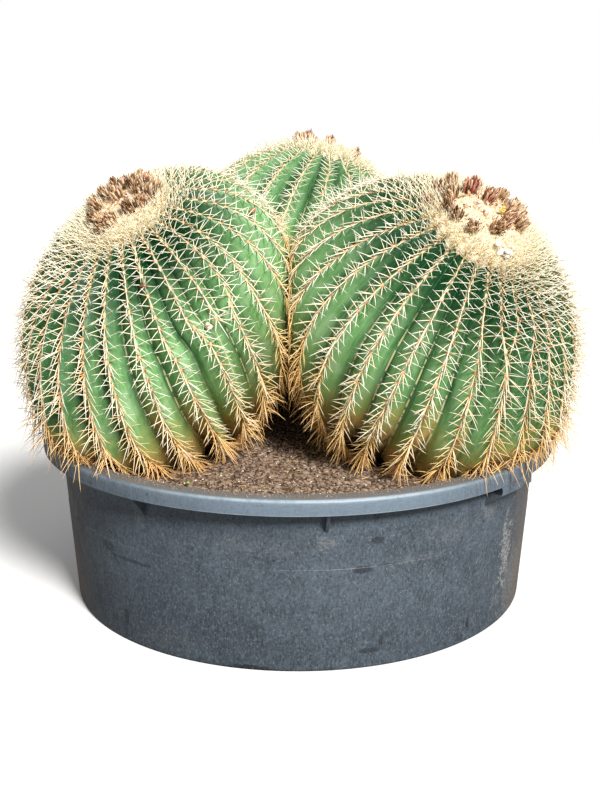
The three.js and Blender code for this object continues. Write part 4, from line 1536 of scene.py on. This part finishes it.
    def felt(self) -> Patch:
        """Builds the felt pads: half ellipsoids, longer and closer together near the crown.

        A pad's point at angle a and level h is a (long cos a, wide sin a) times
        sqrt(1 - h^2), raised by tall times h.

        Returns:
            One patch with marks of age, height and shade.
        """
        spots, sides = self.areoles, self.felt_sides
        count = len(spots.at)
        size = self.random.uniform(0.85, 1.15, count) * (1 - 0.3 * (1 - ease(spots.polar, 18, 34)))
        long, wide, tall = (part * size for part in self.felt_size)
        turn = 2 * np.pi * np.arange(sides) / sides
        level = np.array([-0.5, 0.3, 0.75])
        shrink = np.sqrt(1 - level**2)[None, :, None]
        a = (long[:, None, None] * np.cos(turn) * shrink)[..., None] * spots.up[:, None, None]
        b = (wide[:, None, None] * np.sin(turn) * shrink)[..., None] * spots.right[:, None, None]
        c = (tall[:, None] * level)[:, :, None, None] * spots.out[:, None, None]
        rings = spots.at[:, None, None] + a + b + c
        ends = spots.at[:, None] + (tall[:, None] * [-1, 1])[..., None] * spots.out[:, None]
        points = np.concatenate([rings.reshape(count, -1, 3), ends], 1)
        start = (np.arange(count) * points.shape[1])[:, None, None]
        quads, tris = (start + faces for faces in closed_faces(len(level), sides))
        height = np.concatenate([np.repeat(level, sides), [-1.0, 1.0]])
        shade = self.random.uniform(0, 1, (count, 1))
        marks = marks_of(spots.age[:, None], height[None], shade)
        return Patch(points.reshape(-1, 3), quads.reshape(-1, 4), tris.reshape(-1, 3),
                     marks.reshape(-1, 3))

    def wool_height(self, angle: Array, longitude: Array) -> Array:
        """Returns the wool's height: a low dome with a soft edge, and lumps by slow waves."""
        dome = np.interp(angle, *DOME)
        x, y = angle * np.cos(np.radians(longitude)), angle * np.sin(np.radians(longitude))
        lumps = (np.sin(1.9 * x + 0.7 * y) + np.sin(1.3 * y - 1.1 * x + 2)
                 + 0.7 * np.sin(3.1 * x - 2.2 * y + 1) + 0.6 * np.sin(2.6 * y + 3.4 * x))
        return dome + 0.75 * lumps * (1 - ease(angle, 16, 21))

    def on_wool(self, angle: Array, longitude: Array, lift: Array | float = 0.0) -> Array:
        """Returns points at a height above the wool, by angle from the crown and longitude."""
        return self.form.place(90 - angle, longitude, self.wool_height(angle, longitude) + lift)

    def wool(self) -> Patch:
        """Builds the cushion of wool: a grid of angles from the crown and longitudes."""
        angle = np.linspace(0.5, self.wool_reach, 44)[:, None]
        longitude = np.linspace(0, 360, 132, endpoint=False)[None]
        edge = 90 - self.wool_reach + 0.5
        points = np.concatenate([
            self.on_wool(angle, longitude),
            self.form.place(np.array([edge]), longitude[0], self.wool_sole)[None]])
        rows, columns = points.shape[:2]
        centre = np.zeros(1)
        ends = [self.on_wool(centre, centre), self.form.place(centre + 90, centre, self.wool_sole)]
        count = rows * columns + 2
        marks = marks_of(0.06, 0.5, self.random.uniform(0, 1, count))
        return Patch(np.concatenate([points.reshape(-1, 3), *ends]),
                     *closed_faces(rows, columns), marks)

    def fibres(self) -> Patch:
        """Strews short bent hairs over the wool and its edge."""
        random, count = self.random, self.hairs
        angle = self.hair_reach * np.sqrt(random.uniform(0.0, 1, count))
        longitude = random.uniform(0, 360, count)
        base = self.on_wool(angle, longitude, -0.8)
        out = unit(self.on_wool(angle, longitude, 5.0) - base)
        along = unit(out + random.normal(0, 0.75, (count, 3)))
        bend = random.normal(0, 0.35, (count, 3))
        return Needles(base, along, bend, random.uniform(*self.hair_length, count),
                       random.uniform(*self.hair_girth, count), np.full(count, 0.04),
                       random.uniform(0, 1, count), (0.0, 0.5)).patch()

    def flowers(self) -> tuple[Patch, Patch]:
        """Builds the dried flowers: brushes of papery scales, each on a woolly bulb.

        Returns:
            The scales, and the bulbs as thick, blunt needles.
        """
        random = self.random
        angle, longitude, tone = self.flower_roots
        count, scales = len(angle), self.scales
        root = self.on_wool(angle, longitude, self.flower_root)
        out = unit(self.on_wool(angle, longitude, 20.0) - root)
        height = self.wool_height(angle, longitude) + self.flower_root
        rim = unit(self.form.place(89 - angle, longitude, height) - root)
        axis = unit(out + 0.18 * rim + random.normal(0, 0.08, (count, 3)))
        side = unit(np.cross(axis, out + 0.3))
        face = np.cross(axis, side)
        size = random.uniform(0.88, 1.12, count)
        turn = random.uniform(0, 2 * np.pi, (count, scales))
        ring = np.linspace(0.05, 1.0, scales)[None] ** 0.6 * np.ones((count, 1))
        round_off = (side[:, None] * np.cos(turn)[..., None]
                     + face[:, None] * np.sin(turn)[..., None])
        start = 1.0 + 11.0 * random.uniform(0, 1, ring.shape) * ring
        base = root[:, None] + round_off * (self.flower_radius * size[:, None] * ring)[..., None]
        base = base + axis[:, None] * start[..., None]
        along = unit(axis[:, None] + round_off * (0.50 * ring)[..., None]
                     + random.normal(0, 0.10, (count, scales, 3)))
        length = (self.scale_length - 7.0 * ring) * random.uniform(0.8, 1.12, ring.shape)
        length = length * size[:, None] - start
        tones = np.clip(tone[:, None] + random.normal(0, 0.20, ring.shape), 0, 1)
        shade = random.uniform(0, 1, ring.shape)
        brush = Needles(base.reshape(-1, 3), along.reshape(-1, 3),
                        (-round_off * (0.22 * ring)[..., None]).reshape(-1, 3), length.ravel(),
                        random.uniform(*self.scale_girth, length.size), tones.ravel(),
                        shade.ravel(), (0.0, 0.4, 0.8), 4, 0.3, 0.30).patch()
        long, thick = self.bulb
        bulb = Needles(root - axis * 2.0, axis, axis * 0.0, long * size, thick * size,
                       np.full(count, 0.30), random.uniform(0, 1, count),
                       (0.0, 0.25, 0.5, 0.75), 8, 0.5).patch()
        return brush, bulb

    def chaff(self) -> Patch:
        """Strews broken scales of the dried flowers between them."""
        random = self.random
        middle, turn, tone = (np.repeat(part, self.chaff_each) for part in self.flower_roots)
        count = len(middle)
        angle = np.clip(middle + random.normal(0, 2.4, count), 3.0, 22.5)
        longitude = turn + np.degrees(random.normal(0, 0.05, count) / np.sin(np.radians(middle)))
        base = self.on_wool(angle, longitude, -1.0)
        out = unit(self.on_wool(angle, longitude, 6.0) - base)
        along = unit(out * 0.8 + random.normal(0, 0.55, (count, 3)))
        tone = np.clip(tone + random.normal(0.05, 0.22, count), 0, 1)
        return Needles(base, along, random.normal(0, 0.2, (count, 3)),
                       random.uniform(*self.chaff_length, count),
                       random.uniform(*self.chaff_girth, count), tone, random.uniform(0, 1, count),
                       (0.0, 0.5), 4, 0.3, 0.35).patch()

    def stuck_bits(self) -> Patch:
        """Builds the dried bits that stick to the skin, each of three uneven lumps."""
        lat, lon, size, tone, shade = np.repeat(np.array(self.bits), 3, 0).T
        apart = self.random.normal(0, 0.5, (len(lat), 3)) * size[:, None]
        lumps = pebbles(self.form.place(lat, lon, 2.0) + apart, size, 0.8, self.random, tone)
        lumps.marks[:, 1] = 1.0
        lumps.marks[:, 2] = np.repeat(shade, 12)
        return lumps

    def soft_lumps(self, finish: PlainFinish) -> Patch:
        """Builds the lumps of one finish on the crown, each of nine uneven balls."""
        spots = [lump[1:] for lump in self.lumps if lump[0] is finish]
        angle, lon, size, lift = np.repeat(np.array(spots, float), 9, 0).T
        apart = self.random.normal(0, 0.5, (len(lon), 3)) * size[:, None]
        return pebbles(self.on_wool(angle, lon, lift) + apart, 0.55 * size, 0.9, self.random,
                       np.ones(len(lon)))

    def build(self) -> None:
        """Makes the head's pieces."""
        name = self.name
        Sheaf(self.skin()).make(f"{name}_skin", SKIN, "cactus_skin", [f"head_{name}"])
        Sheaf(self.felt()).make(f"{name}_felt", FELT, "crown_wool")
        for kind, plan in (("side", SIDE_SPINES), ("main", MAIN_SPINES)):
            Sheaf(self.spray(plan)).make(f"{name}_{kind}_spines", SPINE)
        Sheaf(self.wool(), self.fibres()).make(
            f"{name}_wool", FELT, "crown_wool", [f"crown_{name}"])
        brush, bulb = self.flowers()
        flowers = Sheaf(brush, self.chaff())
        if self.bits:
            flowers.add(self.stuck_bits())
        flowers.make(f"{name}_flowers", FLOWER, "crown_wool")
        Sheaf(bulb).make(f"{name}_flower_bulbs", FELT, "crown_wool")
        for finish in dict.fromkeys(lump[0] for lump in self.lumps):
            Sheaf(self.soft_lumps(finish)).make(f"{name}_{finish.name}", finish, "crown_wool")


# ------------------------------------------------------------------ soil


@dataclass
class Soil:
    """The soil, its grit and stones, and what lies or sprouts on it."""

    heads: Sequence[HeadForm]
    top: float = 261.0
    relief: float = 3.0
    ripples: int = 70
    dip: float = 16.0
    radius: float = 389.6
    flare: float = 0.07
    bottom: float = 7.35
    rings: int = 150
    segments: int = 430
    open_radius: float = 384.0
    lip: Span = (396.5, 417.0)
    lip_top: float = 281.0
    sprouts: tuple[Span, ...] = ((24.0, -144.0), (-161.0, -299.0), (300.0, 120.0),
                                 (-296.0, 132.0))
    seed: int = 5

    def __post_init__(self) -> None:
        """Seeds the randomness and finds where each head meets the soil."""
        self.random = np.random.default_rng(self.seed)
        self.waves = self.random.uniform(0, 1, (self.ripples, 3))
        self.feet = [self.foot(head) for head in self.heads]

    def foot(self, head: HeadForm) -> tuple[Array, float]:
        """Returns the centre and the radius of the ring where a head enters the soil."""
        lat, lon = np.meshgrid(np.linspace(-80, 0, 161), np.linspace(0, 355, 72))
        points = head.place(lat, lon)
        ring = points[np.arange(72), np.argmin(np.abs(points[..., 2] - self.top), 1), :2]
        middle = ring.mean(0)
        return middle, float(np.linalg.norm(ring - middle, axis=1).mean())

    def height(self, x: Array, y: Array) -> Array:
        """Returns the soil's height: the source's slow swell, small waves, dips under heads."""
        swell = np.sin(x / 61 + 1.1) * np.cos(y / 53 - 0.4)
        level = self.top + self.relief * (0.65 * swell + 0.35 * np.sin((x + 1.7 * y) / 34))
        for turn, size, phase in self.waves:
            length, turn = 7.0 * 6.0**size, 2 * math.pi * turn
            across = (x * math.cos(turn) + y * math.sin(turn)) / length
            level = level + 0.012 * length * np.sin(2 * math.pi * (across + phase))
        for middle, radius in self.feet:
            away = np.hypot(x - middle[0], y - middle[1])
            level = level - self.dip * (1 - ease(away, radius - 26, radius - 6))
        return level

    def body(self) -> Patch:
        """Builds the soil: rings out from the middle, then down the wall to the bottom."""
        radius = self.radius * np.linspace(0.004, 1.0, self.rings) ** 0.85
        angle = np.arange(self.segments) * 360.0 / self.segments
        top = outwards(angle)[None] * radius[:, None, None]
        edge = ease(radius / self.radius, 0.985, 1.0)[:, None]
        wild = self.height(top[..., 0], top[..., 1])
        top[..., 2] = wild * (1 - edge) + (self.top - 1.0) * edge
        sole = outwards(angle)[None] * (self.radius - self.flare * (self.top - self.bottom) - 0.4)
        sole[..., 2] = self.bottom
        points = np.concatenate([top, sole])
        rows, columns = points.shape[:2]
        ends = np.array([[0, 0, float(top[0, :, 2].mean())], [0, 0, self.bottom]])
        return Patch(np.concatenate([points.reshape(-1, 3), ends]), *closed_faces(rows, columns))

    def open_spots(self, count: int, gap: float) -> Array:
        """Returns random places on the soil that no head covers.

        Args:
            count: How many are tried.
            gap: Least distance from a foot's ring, negative to reach under the bulge.

        Returns:
            Points on the surface.
        """
        radius = self.open_radius * np.sqrt(self.random.uniform(0, 1, count))
        spots = outwards(self.random.uniform(0, 360, count)) * radius[:, None]
        clear = np.ones(count, bool)
        for middle, foot in self.feet:
            clear &= np.linalg.norm(spots[:, :2] - middle, axis=1) > foot + gap
        spots = spots[clear]
        spots[:, 2] = self.height(spots[:, 0], spots[:, 1])
        return spots

    def grit(self) -> Sheaf:
        """Strews crumbs, clods, crumbs spilt on the lip, white grit, and stones.

        Returns:
            One patch for each kind.
        """
        random = self.random
        crumbs = self.open_spots(3000, -4.0)
        white = self.open_spots(420, 0.0) + [0, 0, 0.5]
        stones = self.open_spots(60, 6.0)
        clods = self.open_spots(1500, -2.0)
        turn = np.concatenate([random.uniform(-75, 75, 700), random.uniform(0, 360, 300)])
        spilt = outwards(turn) * random.uniform(*self.lip, len(turn))[:, None]
        spilt[:, 2] = self.lip_top
        sheaf = Sheaf()
        for places, sizes, flatten, tones in (
                (crumbs, (0.7, 2.6), 0.8, (0, 0.45)), (clods, (2.2, 5.5), 0.7, (0, 0.42)),
                (spilt, (0.5, 1.3), 0.7, (0, 0.6)), (white, (0.7, 1.6), 0.9, None),
                (stones, (2.8, 6.0), 0.55, (0.3, 0.6))):
            count = len(places)
            size = random.uniform(*sizes, count)
            tone = random.uniform(*tones, count) if tones else np.ones(count)
            sheaf.add(pebbles(places, size, flatten, random, tone))
        return sheaf

    def litter(self) -> Patch:
        """Strews fallen spines and straw that lie flat on the soil."""
        random, spots = self.random, self.open_spots(420, 2.0)
        count = len(spots)
        along = outwards(random.uniform(0, 360, count)) + random.normal(0, 0.08, (count, 3))
        length = random.uniform(8, 24, count)
        base = spots + np.array([0, 0, 1.2])
        return Needles(base, unit(along), np.zeros((count, 3)) + [0, 0, -0.03], length,
                       random.uniform(0.35, 0.8, count), random.uniform(0.5, 1.0, count),
                       random.uniform(0, 1, count), (0.0, 0.5)).patch()

    def seedlings(self) -> Patch:
        """Grows tiny sprouts: four flat leaves from each root."""
        random = self.random
        x, y = np.array(self.sprouts).T
        roots = np.stack([x, y, self.height(x, y)], -1)
        stalks = np.repeat(roots, 4, 0)
        turn = random.uniform(0, 360, len(stalks))
        along = unit(outwards(turn) * 0.9 + np.array([0, 0, 0.75]))
        lift = np.repeat(random.uniform(2, 5, len(roots)), 4)
        base = stalks + np.array([0, 0, 1.0]) * lift[:, None]
        size = random.uniform(4.5, 7.5, len(stalks))
        zero = np.zeros(len(stalks))
        return Needles(base, along, np.zeros((len(stalks), 3)) + [0, 0, -0.3], size,
                       size * 0.28, zero, zero, (0.0, 0.3, 0.65), 6, 0.6, 0.3).patch()

    def build(self) -> None:
        """Makes the soil's pieces."""
        Sheaf(self.body()).make("soil_bed", EARTH, "soil", ["soil"])
        self.grit().make("soil_grit", GRIT, "soil")
        Sheaf(self.litter()).make("soil_litter", SPINE, "soil")
        Sheaf(self.seedlings()).make("seedlings", LEAF)


# ------------------------------------------------------------------ studio


@dataclass
class Studio:
    """A plain pale floor, soft light, and the camera at the photograph's angle."""

    eye: Triple = (0.003, -2.014, 0.835)
    pitch: float = 14.55
    lens: float = 55.3
    power: float = 5.6
    fill: float = 0.40
    lamp_width: float = 16.0
    lamp_tilt: float = 52.0
    lamp_turn: float = 26.0
    floor_radius: float = 14.0
    floor_gap: float = 0.0002
    floor_lit: float = 0.16
    floor_seen: float = 0.9
    floor_roughness: float = 0.95

    def seen_or_lit(self, tree: bpy.types.NodeTree, lit: float, seen: float) -> Any:
        """Returns a number that is one thing for the camera and another for the light."""
        graph = Graph(tree)
        direct = graph.add("ShaderNodeLightPath").outputs["Is Camera Ray"]
        return graph.math("MULTIPLY_ADD", direct, seen - lit, lit)

    def floor(self) -> None:
        """Lays a wide disc just below the tub's base; it throws back less light than it shows."""
        ring = outwards(np.linspace(0, 360, 96, endpoint=False)) * self.floor_radius
        ring[:, 2] = -self.floor_gap
        mesh = bpy.data.meshes.new("floor")
        mesh.from_pydata(ring.tolist(), [], [list(range(len(ring)))])
        paint = bpy.data.materials.new("pale_floor")
        paint.use_nodes = True
        shader = paint.node_tree.nodes["Principled BSDF"]
        shader.inputs["Roughness"].default_value = self.floor_roughness
        grey = self.seen_or_lit(paint.node_tree, self.floor_lit, self.floor_seen)
        paint.node_tree.links.new(grey, shader.inputs["Base Color"])
        mesh.materials.append(paint)
        floor = bpy.data.objects.new("floor", mesh)
        bpy.context.scene.collection.objects.link(floor)

    def lamp(self) -> None:
        """Hangs the main light: broad, high, and to the front right."""
        light = bpy.data.lights.new("overhead", "SUN")
        light.energy, light.angle = self.power, math.radians(self.lamp_width)
        light.color = (1.0, 0.985, 0.955)
        lamp = bpy.data.objects.new("overhead", light)
        lamp.rotation_euler = (math.radians(self.lamp_tilt), 0.0, math.radians(self.lamp_turn))
        bpy.context.scene.collection.objects.link(lamp)

    def build(self) -> None:
        """Sets up the world, the light, the floor and the camera."""
        scene = bpy.context.scene
        world = bpy.data.worlds.new("studio")
        world.use_nodes = True
        sky = world.node_tree.nodes["Background"]
        sky.inputs[0].default_value = (1, 1, 1, 1)
        world.node_tree.links.new(self.seen_or_lit(world.node_tree, self.fill, 1.0), sky.inputs[1])
        scene.world = world
        scene.view_settings.view_transform = "Standard"
        self.floor()
        self.lamp()
        camera = bpy.data.cameras.new("photo_camera")
        camera.lens, camera.sensor_width = self.lens, 36.0
        camera.clip_start, camera.clip_end = 0.05, 60.0
        seen = bpy.data.objects.new("photo_camera", camera)
        seen.location = self.eye
        seen.rotation_euler = (math.radians(90 - self.pitch), 0.0, 0.0)
        scene.collection.objects.link(seen)
        scene.camera = seen


# ------------------------------------------------------------------ assembly


def main() -> None:
    """Builds the studio, the tub, the soil and the three heads in order."""
    logging.basicConfig(level=logging.INFO, format="%(name)s: %(message)s")
    left = HeadForm(
        centre=(-217, -117, 473), radius=213, rise=243, drop=235, heading=-37.6, crown_lean=32,
        foot_lean=48.6, skew=0.198, flatness=0.14, ribs=27, turn=-62.5, hip=0.07,
        extra=ExtraRib(7, 15.0, 16.0), seed=21)
    right = HeadForm(
        centre=(202, -120, 467), radius=225, rise=219, drop=244, heading=36, crown_lean=41.5,
        foot_lean=39, skew=0.212, flatness=-0.06, ribs=28, turn=7.0, hip=0.10,
        extra=ExtraRib(1, 35.0, 15.0, True), seed=22)
    back = HeadForm(
        centre=(-2, 252, 478), radius=227, rise=250, drop=235, heading=128, crown_lean=17,
        foot_lean=28, skew=-0.03, flatness=0.05, ribs=25, turn=-13.6, hip=0.0, seed=23)
    forms = [left, right, back]
    for form in forms:
        form.meet(forms)
    Studio().build()
    Tub().build()
    Soil(forms).build()
    CactusHead("left", left, LEFT_FLOWERS, LEFT_BITS, LEFT_LUMPS, (0.88, 0.8, 0.3)).build()
    CactusHead("right", right, RIGHT_FLOWERS, RIGHT_BITS, RIGHT_LUMPS, (1.0, -2.4, 1.6)).build()
    CactusHead("back", back, BACK_FLOWERS).build()


if __name__ == "__main__":
    main()
